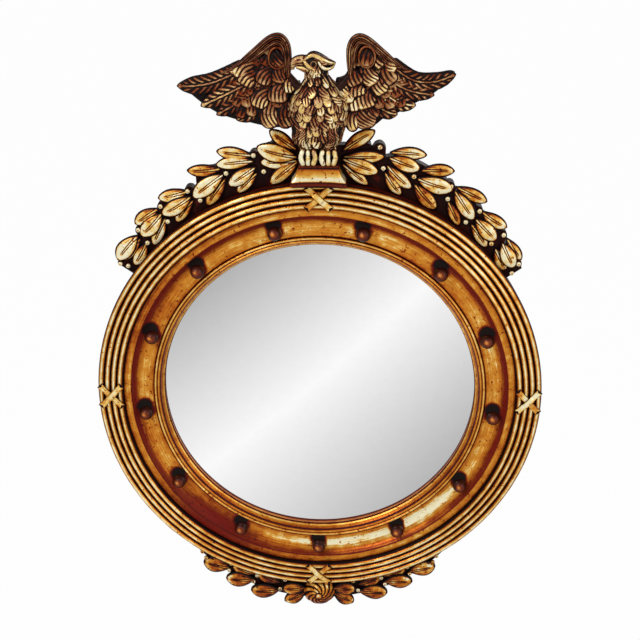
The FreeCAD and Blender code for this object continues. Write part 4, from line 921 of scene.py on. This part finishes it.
# The eagle's pieces: left and right are the viewer's.
bodyValues = {
    "middle": 53.0, "foot": 350.2, "neck": 446.0,
    "levels": [350, 358, 368, 380, 392, 403, 413, 422, 430, 437, 446],
    "wide": [19, 24, 28.5, 31.5, 32.5, 31.5, 27, 20.5, 15.5, 13, 12],
    "deep": [17, 20, 23, 25.5, 26.3, 26, 24, 20.5, 16.5, 13, 11.5],
    "rowStep": 9.2, "spread": 12.0, "long": 22.0,
    "collar": 424.0, "collarSpread": 8.6, "collarLong": 15.0,     # feathers above this are smaller
    "thighs": [(-1, -20), (1, 17)],
}


def torsoAt(turn, up, off=0.0):
    # Point on the body's skin: turn is 0 at the front and grows to the viewer's right.
    v = bodyValues
    wide = np.interp(up, v["levels"], v["wide"]) + off
    deep = np.interp(up, v["levels"], v["deep"]) + off
    return np.array([wide * math.sin(turn), -(v["middle"] + deep * math.cos(turn)), up])


def torsoOut(turn, up):
    # The way that the body's skin faces there.
    a, b = torsoAt(turn + 0.02, up), torsoAt(turn - 0.02, up)
    c, d = torsoAt(turn, up + 1.5), torsoAt(turn, up - 1.5)
    return unit(np.cross(c - d, a - b)) * -1


def shoulder(carving, way):
    # A smooth dark shoulder that runs up into the wing.
    path = [(way * 9 - 1, -52, 433), (way * 18, -53, 422), (way * 27, -52, 424),
            (way * 37, -50, 437)]
    tube(carving, path, [(5, 7), (6.5, 8), (6, 6.5), (4, 5)], (0, -1, 0), rows=26, relief=0.34,
         tone=0.35)


def thigh(carving, way, across):
    path = [(across * 1.1, -62, 388), (across * 1.05, -68, 374), (across * 0.9, -66, 360),
            (across * 0.72, -58, 349)]
    tube(carving, path, [(8, 7), (11.5, 9.5), (10, 8.5), (7, 6)], (0, -1, 0), relief=0.04)
    for k in (-2, 2, -1, 1, 0):
        lean = k / 2
        path = [(across * 1.15 + way * 5 + lean * 7, -70 + 4 * lean * lean, 389),
                (across * 1.0 - way * 1.5 + lean * 10.5, -78.0 + 8 * lean * lean, 374),
                (across * 0.86 + way * 2.5 + lean * 8, -76.2 + 8 * lean * lean, 361),
                (across * 0.6 - way * 1.5 + lean * 5, -68 + 6 * lean * lean, 347.5)]
        blade(carving, path, 5.6, unit((lean * 0.8, -1, 0.1)),
              scaleStyle(1.9, 3.2, 0.12 * way, 0.4, clear=0.85), rows=30, thick=1.8,
              tone=chance.uniform(0.2, 0.9), tilt=0.5 * way)


def eagleBody():
    v = bodyValues
    carving = Carving()
    rings = []
    for up in np.linspace(v["foot"], v["neck"], 34):
        ring = [torsoAt(turn, up, -0.6) for turn in np.linspace(-math.pi, math.pi, 40)[:-1]]
        rings.append([(x, min(y, -34.3), z) for x, y, z in ring])
    carving.sheet(np.array(rings), 0.04, 0.4)
    for row, up in enumerate(np.arange(356, 438, v["rowStep"])):
        wide = float(np.interp(up, v["levels"], v["wide"]))
        low = up < v["collar"]
        spread = v["spread"] if low else v["collarSpread"]
        count = max(5, int(round(2.7 * wide / spread)))
        for k in range(-count, count + 1):
            turn = (k + 0.5 * (row % 2)) * spread / wide * 0.92 + chance.uniform(-0.05, 0.05)
            if abs(turn) > 1.75:                    # the back is plain
                continue
            long = (v["long"] if low else v["collarLong"]) * chance.uniform(0.88, 1.1)
            lean = 0.07 * math.sin(turn * 3) + chance.uniform(-0.1, 0.1)
            middle = up + chance.uniform(-1.6, 1.6)
            path = [torsoAt(turn - lean, middle + long * 0.6, -0.4),
                    torsoAt(turn, middle + 1, 1.4),
                    torsoAt(turn + lean * 1.5, max(middle - long * 0.4, 351), 2.7)]
            blade(carving, path, spread * chance.uniform(0.54, 0.62), torsoOut(turn, up),
                  scaleStyle(2.1, 4.0, chance.uniform(-0.6, 0.6), 0.12, line=2.1,
                             clear=chance.uniform(0.6, 0.9)),
                  rows=26, thick=1.6, tone=chance.uniform(0, 0.85),
                  tilt=chance.uniform(-0.7, 0.7))
    for way in (-1, 1):
        shoulder(carving, way)
    for way, across in v["thighs"]:
        thigh(carving, way, across)
    carving.finish("eagleBody", eagleGilt, "eagle_gilt", "eagle_body")


footValues = {
    # the line of an outer toe: out from the foot's middle, Y, height
    "grip": [(2.6, -53, 345.5), (5.4, -61, 349.6), (7.0, -66.2, 345.6), (8.8, -67.6, 338.8),
             (6.8, -67.0, 332), (5.4, -63.6, 328)],
    "girth": [(3.2, 3.2), (3.6, 3.7), (3.6, 3.3), (3.5, 3.1), (3.4, 3.4), (2.4, 2.8)],
    "middleGirth": [(3.2, 3.2), (3.6, 3.33), (3.6, 2.97), (3.5, 2.79), (3.4, 3.06), (2.4, 2.8)],
}


def eagleFoot(name, node, across):
    v = footValues
    carving = Carving()
    tube(carving, [(across, -53, 351), (across, -54, 343), (across, -56, 334), (across, -57, 328)],
         [(6.5, 6), (8, 6.5), (10, 6), (10, 5)], (0, -1, 0), rows=9, relief=0.03)

    def knuckled(along, turn, length):
        # A joint line near the top, a dark claw tip and dark sides.
        joint = np.exp(-((along - 0.4 - 0.06 * np.sin(turn) ** 2) / 0.035) ** 2)
        tip = soft(0.88, 0.97, along)
        side = soft(0.8, 0.98, np.abs(np.sin(turn)))
        ink = np.maximum(np.maximum(0.55 * joint, tip), side) * (np.cos(turn) > -0.3)
        return 1 + 0.06 * np.cos(along * 19) * soft(0.5, 0.4, along), -0.98 * ink

    for toe in (-1, 0, 1):                      # the outer toes bow round dark almond gaps
        tube(carving, [(across + toe * aside, y, up) for aside, y, up in v["grip"]],
             v["girth" if toe else "middleGirth"], (1, 0, 0.01), rows=56, sides=40, relief=0.98,
             tone=0.95 - 0.3 * (toe + 1), ridges=knuckled, under=0)
    carving.finish(name, eagleGilt, "eagle_gilt", node)


headValues = {
    # across, middle height, half height, half depth
    "skull": [(19, 450.8, 1.6, 1.6), (14, 449.6, 4.2, 4), (9, 449.6, 7.4, 7), (4, 450, 10.2, 9.3),
              (-1, 450.4, 12, 10.8), (-6, 450.4, 12.4, 11.2), (-11, 450.8, 11, 10),
              (-14.5, 451.6, 9.4, 8.4), (-17, 452, 8, 7)],
    "beak": [(-11, 453), (-18, 454.4), (-25, 454), (-29.8, 451.4), (-32, 447.4), (-31.8, 443.4)],
    "beakSizes": [(7.6, 7.8), (7.2, 7.4), (6.6, 7), (5.8, 6.2), (4.6, 5), (2.2, 2.6)],
    "jaw": [(-3, 441.6), (-11, 443.2), (-19, 445.2), (-27, 446.8)],
    "jawSizes": [(8.6, 7.2), (7.4, 5.8), (5.8, 4.2), (3, 2)],
    "mouth": [(-4, 446.4), (-14, 447.6), (-25, 448.4)],
    "mouthSizes": [(6.6, 3.4), (5.4, 2.6), (3, 1.6)],
    # lines along the cheek: across, out from the middle, height, half width
    "brow": [(-14.6, 7, 457.6, 1.4), (-11, 7.8, 460.6, 2.6), (-6, 7.6, 462, 3.1), (0, 8, 460, 3.2),
             (6, 7.8, 456.6, 3), (13, 6, 453.2, 2.4), (20.6, 3, 451.6, 0.8)],
    "crest": [(0.2, 10.8, 454.6, 1.2), (2.9, 10.8, 450.8, 2.1), (6.7, 9.6, 447, 2.4),
              (12, 7, 445.6, 2.2), (16.8, 5, 447.2, 1.7), (20, 3.4, 450.6, 0.6)],
    "cheek": [(-18.6, 7, 456.4, 1), (-15.4, 9, 453.4, 2.7), (-12, 10, 449.4, 2.9),
              (-7, 10.8, 445.6, 2.5), (-1, 10.8, 443.6, 0.9)],
    "eye": (-5.6, 451.6),
    # feathers over the crown: aside, rise, reach
    "crown": [(0, 0.5, 1), (-5.5, -1.5, 0.86), (5.5, -1.5, 0.86), (-8.5, -5, 0.66),
              (8.5, -5, 0.66)],
    "hackleRows": 7, "hackleCount": 13,
}
headOut = bodyValues["middle"]     # the head stands as far out as the body


def headSkull(carving):
    turn = np.linspace(0, 2 * math.pi, 28, endpoint=False)
    rings = [np.stack([np.full(28, x), -headOut - deep * np.sin(turn), up + high * np.cos(turn)], 1)
             for x, up, high, deep in headValues["skull"]]
    # shade is painted light: the head is lighter along its top.
    shade = 0.1 + 0.3 * soft(0.5, 1, np.cos(turn))
    carving.sheet(np.array(rings), np.array([shade] * len(rings)), 0.5)


def headBill(carving):
    v = headValues

    def horn(along, turn, length):
        rise = np.sin(turn)
        nostril = np.exp(-((along - 0.45) / 0.07) ** 2 - ((rise - 0.3) / 0.16) ** 2)
        cere = np.exp(-((along - 0.24) / 0.03) ** 2)
        lip = np.exp(-((rise + 0.3) / 0.12) ** 2) * soft(0.75, 0.65, along)
        outline = 0.95 * soft(0.82, 0.94, rise) + 0.95 * soft(-0.6, -0.8, rise)
        return 1 - 0.06 * cere, -outline - 0.7 * nostril - 0.5 * cere - 0.6 * lip

    def lowerHorn(along, turn, length):
        return 1, -0.9 * soft(0.6, 0.9, np.sin(turn))

    tube(carving, [(x, -headOut, up) for x, up in v["beak"]], v["beakSizes"], (0, 0, 1), rows=44,
         sides=36, relief=0.76, tone=0.6, ridges=horn, under=0)
    tube(carving, [(x, -headOut, up) for x, up in v["mouth"]], v["mouthSizes"], (0, 0, 1), rows=12,
         relief=0.02, under=0)
    tube(carving, [(x, -headOut, up) for x, up in v["jaw"]], v["jawSizes"], (0, 0, 1), rows=24,
         sides=30, relief=0.84, tone=0.6, ridges=lowerHorn, under=0.2)


def headCheek(carving, side):
    # Brow, crest and cheek lines, with a ringed eye. side is -1 at the back and 1 at the front.
    v = headValues

    def split(along, turn, length):
        cut = np.exp(-((np.cos(turn) - 0.35) / 0.14) ** 2) * soft(0.55, 0.62, along)
        return 1, -0.8 * cut - 0.85 * soft(0.72, 0.92, np.abs(np.cos(turn)))

    for line in ("brow", "crest", "cheek"):
        path = [(x, -headOut + side * off, up) for x, off, up, half in v[line]]
        sizes = [(half, half * 0.8) for x, off, up, half in v[line]]
        tube(carving, path, sizes, (0, side, 0), rows=40, sides=20, relief=0.88, tone=0.6,
             ridges=split, under=0.5)
    x, up = v["eye"]
    ring = [(x + 3.3 * math.cos(a), -headOut + side * 11.2, up + 3.6 * math.sin(a))
            for a in np.linspace(0, 2 * math.pi, 13)]
    tube(carving, ring, [(0.6, 0.6), (0.6, 0.6)], (0, side, 0), rows=36, sides=10, relief=0.62)
    tilt = np.radians(np.linspace(-85, 85, 11))[:, None]
    turn = np.radians(np.arange(0, 360, 24))[None, :]
    eye = np.stack([x + 3.0 * np.cos(tilt) * np.cos(turn),
                    -headOut + side * 9.8 + side * 2.2 * np.sin(tilt) + 0 * turn,
                    up + 3.3 * np.cos(tilt) * np.sin(turn)], 2)
    carving.sheet(eye, 0.02, 0.2)


def headFeathers(carving):
    v = headValues
    for aside, rise, reach in v["crown"]:
        path = [(-11, -headOut + aside * 0.7, 461 + rise), (-2, -headOut + aside, 462 + rise),
                (8, -headOut + aside * 0.9, 457 + rise),
                (18 * reach + 0.4, -headOut + aside * 0.6, 453.4 + rise * 0.4)]
        blade(carving, path, 4.8, unit((0.2, aside * 0.16, 1)), scaleStyle(1.6, 3.0, 0, 0.5),
              rows=30, thick=1.5, tone=0.0)
    for row in range(v["hackleRows"]):              # down the cheek and neck
        up, wide = 445.5 - row * 4.4, 11.2 + row * 0.7
        for k in range(v["hackleCount"]):
            turn = (k + 0.5 * (row % 2)) / v["hackleCount"] * 2 * math.pi
            turn = turn + chance.uniform(-0.1, 0.1)

            def place(drop, off):
                return np.array([(wide + off) * math.sin(turn) - 3.4 + row * 0.5,
                                 -headOut - (wide + off) * math.cos(turn), up - drop])

            if place(0, 0)[0] < -12.5 and row == 0:         # the jaw is there
                continue
            curl = (chance.uniform(-1.4, 1.4), 0, 0)
            blade(carving, [place(-5, -0.5), place(1, 0.9) + curl, place(7.5, 1.6)], 3.3,
                  (math.sin(turn), -math.cos(turn), 0.2),
                  scaleStyle(1.1, 2.6, 0.3, 0.2, line=1.2), rows=14, thick=1.2,
                  tone=chance.uniform(0.2, 0.8))


def eagleHead():
    carving = Carving()
    headSkull(carving)
    headBill(carving)
    for side in (-1, 1):
        headCheek(carving, side)
    headFeathers(carving)
    carving.finish("eagleHead", eagleGilt, "eagle_gilt", "eagle_head")


wingValues = {
    "plate": 48.5, "back": 42.2, "topQuill": 10.0,
    "leftOutline": [(-36, 452), (-36, 472), (-41, 483), (-49, 486.5), (-62, 482), (-98, 453),
                    (-125, 439), (-155, 435), (-174, 423), (-158, 410), (-142, 397), (-124, 386),
                    (-104, 379), (-86, 375), (-68, 371), (-50, 369), (-32, 371), (-20, 376),
                    (-20, 426), (-27, 431), (-34, 438)],
    "rightOutline": [(36, 452), (35, 472), (40, 483), (50, 486.5), (62, 481.5), (92, 458),
                     (118, 443), (142, 442), (160, 444.5), (167, 439), (155, 425), (140, 412),
                     (118, 400), (97, 388), (84, 384), (70, 373), (52, 369), (30, 370), (18, 375),
                     (18, 428), (27, 436), (35, 440)],
    # long feathers: the line of the quill, half width, stand
    "leftQuills": [([(-62, 398), (-84, 389), (-102, 380.5)], 8.6, 49.5),
                   ([(-72, 413), (-100, 401), (-126, 386.5)], 8.6, 50.5),
                   ([(-80, 429), (-112, 413), (-145, 397.5)], 9.4, 51.6),
                   ([(-90, 444), (-126, 428), (-152, 423), (-173, 422.6)], 11.2, 52.8)],
    "rightQuills": [([(67, 405), (82, 393), (97, 388.5)], 8.2, 49.5),
                    ([(78, 417), (97, 404), (119, 400)], 8.6, 50.5),
                    ([(86, 431), (110, 419), (141, 413)], 8.8, 51.6),
                    ([(86, 450), (114, 432), (140, 430), (166, 439)], 10.2, 52.8)],
    # short feathers: root, tip, half width, stand
    "leftScales": [((-92, 447), (-106, 436), 6.4, 53.5), ((-72, 454), (-104, 436), 7, 54),
                   ((-78, 441), (-92, 423), 9.5, 54.4), ((-58, 446), (-70, 424), 8.5, 54.8),
                   ((-42, 448), (-50, 426), 7.6, 55), ((-62, 420), (-76, 396), 9, 54.4),
                   ((-46, 426), (-50, 402), 10.4, 55.2), ((-34, 436), (-36, 414), 6.5, 55),
                   ((-60, 406), (-57, 370.5), 9.6, 53), ((-42, 404), (-38, 371), 8.8, 53.6),
                   ((-28, 414), (-30, 388), 7, 54.4), ((-26, 396), (-27, 370), 6, 53.6)],
    "rightScales": [((78, 457), (94, 442), 5.6, 53.5), ((70, 456), (76, 445), 5.4, 54.4),
                    ((76, 452), (92, 427), 8.6, 54), ((58, 448), (68, 425), 8.6, 54.8),
                    ((68, 438), (80, 414), 8.6, 54.4), ((40, 444), (48, 424), 8.6, 55),
                    ((47, 428), (50, 411), 8.6, 55.4), ((56, 420), (60, 396), 10.8, 54.8),
                    ((36, 426), (38, 402), 6.4, 55), ((44, 414), (44, 392), 6.4, 54.6),
                    ((57, 402), (61, 371), 10.6, 53.2), ((42, 398), (43, 367.5), 6.4, 53.8),
                    ((28, 434), (33, 408), 6.6, 54.8), ((27, 414), (29, 388), 6, 54.4),
                    ((27, 396), (28, 370), 6, 53.6)],
    "leftEdges": [([(-37, 434), (-35.5, 452), (-37, 471), (-42.5, 481), (-50, 483.6), (-61, 479),
                    (-80, 463), (-99, 447.5), (-118, 438)], 3.6, 54.5),
                  ([(-41, 440), (-40, 455), (-42, 468), (-47, 475), (-54, 474.5), (-66, 466),
                    (-82, 454), (-97, 445)], 3.0, 53.6)],
    "rightEdges": [([(38.5, 438), (37, 455), (37.5, 470), (42, 480), (50, 483.4), (61, 478.4),
                     (78, 464.5), (94, 451.5), (107, 444)], 3.6, 54.5),
                   ([(43, 446), (42.5, 460), (44.5, 470), (50, 476.4), (58, 475), (66, 469),
                     (76, 459), (84, 452)], 2.8, 53.6)],
    "leftLoop": (-50, 457.5, 9.8, 12.4), "rightLoop": (58, 459.5, 9.6, 12.4),
}


def within(point, outline):
    inside = False
    for (x, z), (nextX, nextZ) in zip(outline, np.roll(outline, -1, 0)):
        if (z > point[1]) != (nextZ > point[1]):
            if point[0] < x + (point[1] - z) / (nextZ - z) * (nextX - x):
                inside = not inside
    return inside


def wingPlate(carving, outline):
    closed = np.vstack([outline, outline[:1]])
    line = throughPoints([(x, 0, z) for x, z in closed], 150)[0][:-1]
    inward = unit(np.cross(np.roll(line, -1, 0) - np.roll(line, 1, 0), (0, 1, 0)))
    centre = line.mean(0)
    if np.sum((line + inward - centre) ** 2) > np.sum((line - inward - centre) ** 2):
        inward = -inward
    back, front = wingValues["back"], wingValues["plate"]
    rim = []
    for stand, shrink in ((back, 3), (back + 0.8, 2.2), (front - 1.4, 2.2), (front, 3.4)):
        ring = line + inward * shrink
        ring[:, 1] = -stand
        rim.append(ring)
    carving.sheet(np.array(rim), np.array([[0.36], [0.3], [0.1], [0.1]]), 0.4)


def wingQuill(carving, points, half, stand, tones, tilt):
    top = half > wingValues["topQuill"]
    (x, z), (nextX, nextZ) = points[:2]
    tuck = 0.12 if top else 0.45                    # its root lies under the short feathers
    points = [(x + (x - nextX) * tuck, z + (z - nextZ) * tuck)] + points
    path = [(x, -(stand - 1.2 * k / len(points)), z) for k, (x, z) in enumerate(points)]
    blade(carving, path, half * (1.12 if top else 1.26), (0, -1, 0), quillStyle(2.6), rows=120,
          thick=3.2, tone=tones(), columns=fineColumns, tilt=tilt)


def wingFill(carving, way, outline, tones):
    # Small dark feathers that fill in behind the big ones.
    for row in range(8):
        for k in range(6):
            spot = np.array([way * (30 + k * 12.5 + 6 * (row % 2)), 470 - row * 12.5])
            spot = spot + chance.uniform(-1.5, 1.5, 2)
            ahead = unit(unit(spot - (way * 46, 474)) + (way * 0.15, -1.0))
            tip = spot + ahead * 12
            beside = np.array([ahead[1], -ahead[0]]) * 10
            if not all(within(p, outline) for p in (spot - ahead * 8, tip + ahead * 2,
                                                    spot + beside, spot - beside)):
                continue
            path = [(*(spot - ahead * 10), 49.0), (*spot, 51.0), (*tip, 51.8)]
            blade(carving, [(x, -stand, z) for x, z, stand in path], 8.6, (0, -1, 0),
                  scaleStyle(1.8, 4.6, chance.uniform(-0.5, 0.5)), rows=20, thick=2.5,
                  tone=tones() - 0.7)


def wingScale(carving, root, tip, half, stand, tones):
    root, tip = np.array(root, float), np.array(tip, float)
    bow = np.array([tip[1] - root[1], root[0] - tip[0]]) * 0.05
    between = (root + tip) / 2 + bow
    path = [(root[0], -(stand - 2), root[1]), (between[0], -(stand - 0.4), between[1]),
            (tip[0], -(stand + 0.3), tip[1])]
    blade(carving, path, half * 1.36, (0, -1, 0),
          scaleStyle(2.4, chance.uniform(4.2, 5.0), chance.choice([-0.5, -0.25, 0.2, 0.45]),
                     line=2.8, clear=chance.uniform(0.74, 0.95)),
          rows=40, thick=4, tone=tones(), columns=broadColumns, tilt=chance.uniform(-0.8, 0.8))


def wingEdge(carving, points, half, stand, tone):
    def strands(along, turn, length):               # three pale strands along the edge
        line = sum(np.exp(-((turn - place) / 0.17) ** 2) for place in (0.75, 1.5, 2.25))
        return 1 + 0.05 * line, 0.66 * line - 0.06 * np.sin(along * 40 + turn * 3)

    path = [(x, -(stand - 1.5 * (k / len(points)) ** 2), z) for k, (x, z) in enumerate(points)]
    tube(carving, path, [(half * 0.8, 3.4), (half * 1.1, 4.4), (half * 1.1, 4.4), (half, 3.6),
                         (half * 0.45, 1.8)], (0, -1, 0), rows=70, sides=38, relief=0.18,
         tone=tone, ridges=strands)


def wingLoop(carving, way, x, z, wide, high, toneShift):
    # The big looped feather on the shoulder.
    def rim(along, turn, length):
        return 1, -0.8 * soft(0.7, 0.95, np.abs(np.cos(turn)))

    path = [(x, -52.5, z + high), (x, -56.2, z + 3), (x, -55.8, z - high)]
    blade(carving, path, wide, (0, -1, 0), scaleStyle(3.4, 5.0, 0.5 * way, 0.1, clear=0.75),
          rows=36, thick=4, tone=0.1 + 2.4 * toneShift, columns=broadColumns)
    loop = [(x + wide * math.cos(a), -55.2, z + high * math.sin(a))
            for a in np.linspace(0.5, 0.5 + 2 * math.pi, 17)]
    tube(carving, loop, [(1.7, 1.9), (1.7, 1.9)], (0, -1, 0), rows=60, sides=20, relief=0.66,
         tone=0.5 + toneShift, ridges=rim)


def eagleWing(name, side, node, toneShift):
    v = wingValues
    carving = Carving()
    way = -1 if side == "left" else 1
    outline = np.array(v[side + "Outline"], float)

    def tones():
        return chance.uniform(0.1, 0.9) + toneShift

    wingPlate(carving, outline)
    for points, half, stand in v[side + "Quills"]:
        wingQuill(carving, points, half, stand, tones, -0.7 * way)
    wingFill(carving, way, outline, tones)
    for root, tip, half, stand in v[side + "Scales"]:
        wingScale(carving, root, tip, half, stand, tones)
    for points, half, stand in v[side + "Edges"]:
        wingEdge(carving, points, half, stand, 0.5 + toneShift)
    wingLoop(carving, way, *v[side + "Loop"], toneShift)
    carving.finish(name, eagleGilt, "eagle_gilt", node)


eagleBody()
eagleFoot("eagleFootLeft", "eagle_foot_left", -12.5)
eagleFoot("eagleFootRight", "eagle_foot_right", 12.5)
eagleHead()
eagleWing("eagleWingLeft", "left", "eagle_wing_left", -0.3)
eagleWing("eagleWingRight", "right", "eagle_wing_right", -0.05)
print("eagle made")


def dress(material, *names):
    # The parts that keep their turned, sawn or pressed shape only get their finish.
    for name in names:
        mesh = nodes[name].data
        mesh.materials.clear()
        mesh.materials.append(material)


dress(stainedBoard, "apron_board")
dress(coreWood, "core_ring")
dress(cleatWood, "crest_cleat", "apron_cleat", "eagle_dowels")
dress(blockWood, "glazing_blocks")
dress(panelWood, "backboard")
dress(screwSteel, "backboard_screws", "crest_cleat_screws", "apron_cleat_screws", "hanger_screws")
dress(hangerBrass, "hanger_strap_left", "hanger_strap_right", "d_ring_left", "d_ring_right")


# In metres, from here on. A lamp is (place, width, power), and all aim at the same point.
stageValues = {
    "floor": -1.6, "floorReach": 20, "lightLevel": 0.5, "aim": (0, 0, 0.05),
    "keyLamp": ((-1.4, -1.9, 1.9), 1.2, 34.0), "fillLamp": ((1.7, -1.6, 0.6), 1.6, 9.0),
    "backLamp": ((0.6, 2.0, 1.2), 1.6, 9.0),
}
cameraValues = {"lens": 65.8, "place": (0.0483, -1.4704, 0.7098), "aim": (0.00084, -0.024, 0.104)}


def paleFloor():
    mesh = bpy.data.meshes.new("floor")
    far = stageValues["floorReach"]
    corners = [(-far, -far), (far, -far), (far, far), (-far, far)]
    mesh.from_pydata([(x, y, stageValues["floor"]) for x, y in corners], [], [(0, 1, 2, 3)])
    finish = Finish("paleFloor")
    seen = finish.node("ShaderNodeLightPath")
    glow = finish.node("ShaderNodeEmission", {}, {0: (1.0, 1.0, 1.0, 1.0), 1: 1.0})
    plain = finish.node("ShaderNodeBsdfDiffuse", {}, {0: (0.92, 0.92, 0.91, 1.0)})
    both = finish.node("ShaderNodeMixShader", {}, {0: seen * 0.97, 1: plain, 2: glow})
    finish.node("ShaderNodeOutputMaterial", {}, {0: both})
    mesh.materials.append(finish.material)
    floor = bpy.data.objects.new("floor", mesh)
    bpy.context.scene.collection.objects.link(floor)
    floor.visible_glossy = False


def studio():
    world = bpy.data.worlds.new("studio")
    bpy.context.scene.world = world
    world.use_nodes = True
    finish = Finish("studio", world.node_tree)
    path = finish.node("ShaderNodeLightPath").socket.node
    camera, glossy, through = (Wire(finish, path.outputs[k]) for k in
                               ("Is Camera Ray", "Is Glossy Ray", "Is Transmission Ray"))
    # In reflections the room is white along one slanting band and greyer to either side of it.
    apart = finish.node("ShaderNodeSeparateXYZ", {}, {0: finish.node("ShaderNodeTexCoord", out=0)})
    across, up = apart, Wire(finish, apart.socket.node.outputs[2])
    slope = across * -0.669 + up * 0.743 + 0.258
    greyer = slope.work("ABSOLUTE").work("MINIMUM", 0.55) * glossy
    tint = finish.blend(greyer, (1.0, 1.0, 1.0), (0.0, 0.0, 0.0))
    bright = (camera + glossy + through).work("MINIMUM", 1.0)
    level = bright + (1 - bright) * stageValues["lightLevel"]
    shade = finish.node("ShaderNodeBackground", {}, {0: tint, 1: level})
    finish.node("ShaderNodeOutputWorld", {}, {0: shade})


def lamp(name):
    place, size, power = stageValues[name]
    data = bpy.data.lights.new(name, "AREA")
    data.shape, data.size, data.energy = "SQUARE", size, power
    made = bpy.data.objects.new(name, data)
    made.location = place
    aim = Vector(stageValues["aim"]) - made.location
    made.rotation_euler = aim.to_track_quat("-Z", "Y").to_euler()
    bpy.context.scene.collection.objects.link(made)


def photographCamera():
    data = bpy.data.cameras.new("camera")
    data.lens, data.sensor_width = cameraValues["lens"], 36
    camera = bpy.data.objects.new("camera", data)
    camera.location = cameraValues["place"]
    aim = Vector(cameraValues["aim"]) - camera.location
    camera.rotation_euler = aim.to_track_quat("-Z", "Y").to_euler()
    bpy.context.scene.collection.objects.link(camera)
    bpy.context.scene.camera = camera


paleFloor()
studio()
for name in ("keyLamp", "fillLamp", "backLamp"):
    lamp(name)
photographCamera()
bpy.context.scene.view_settings.view_transform = "Standard"
print("stage made")
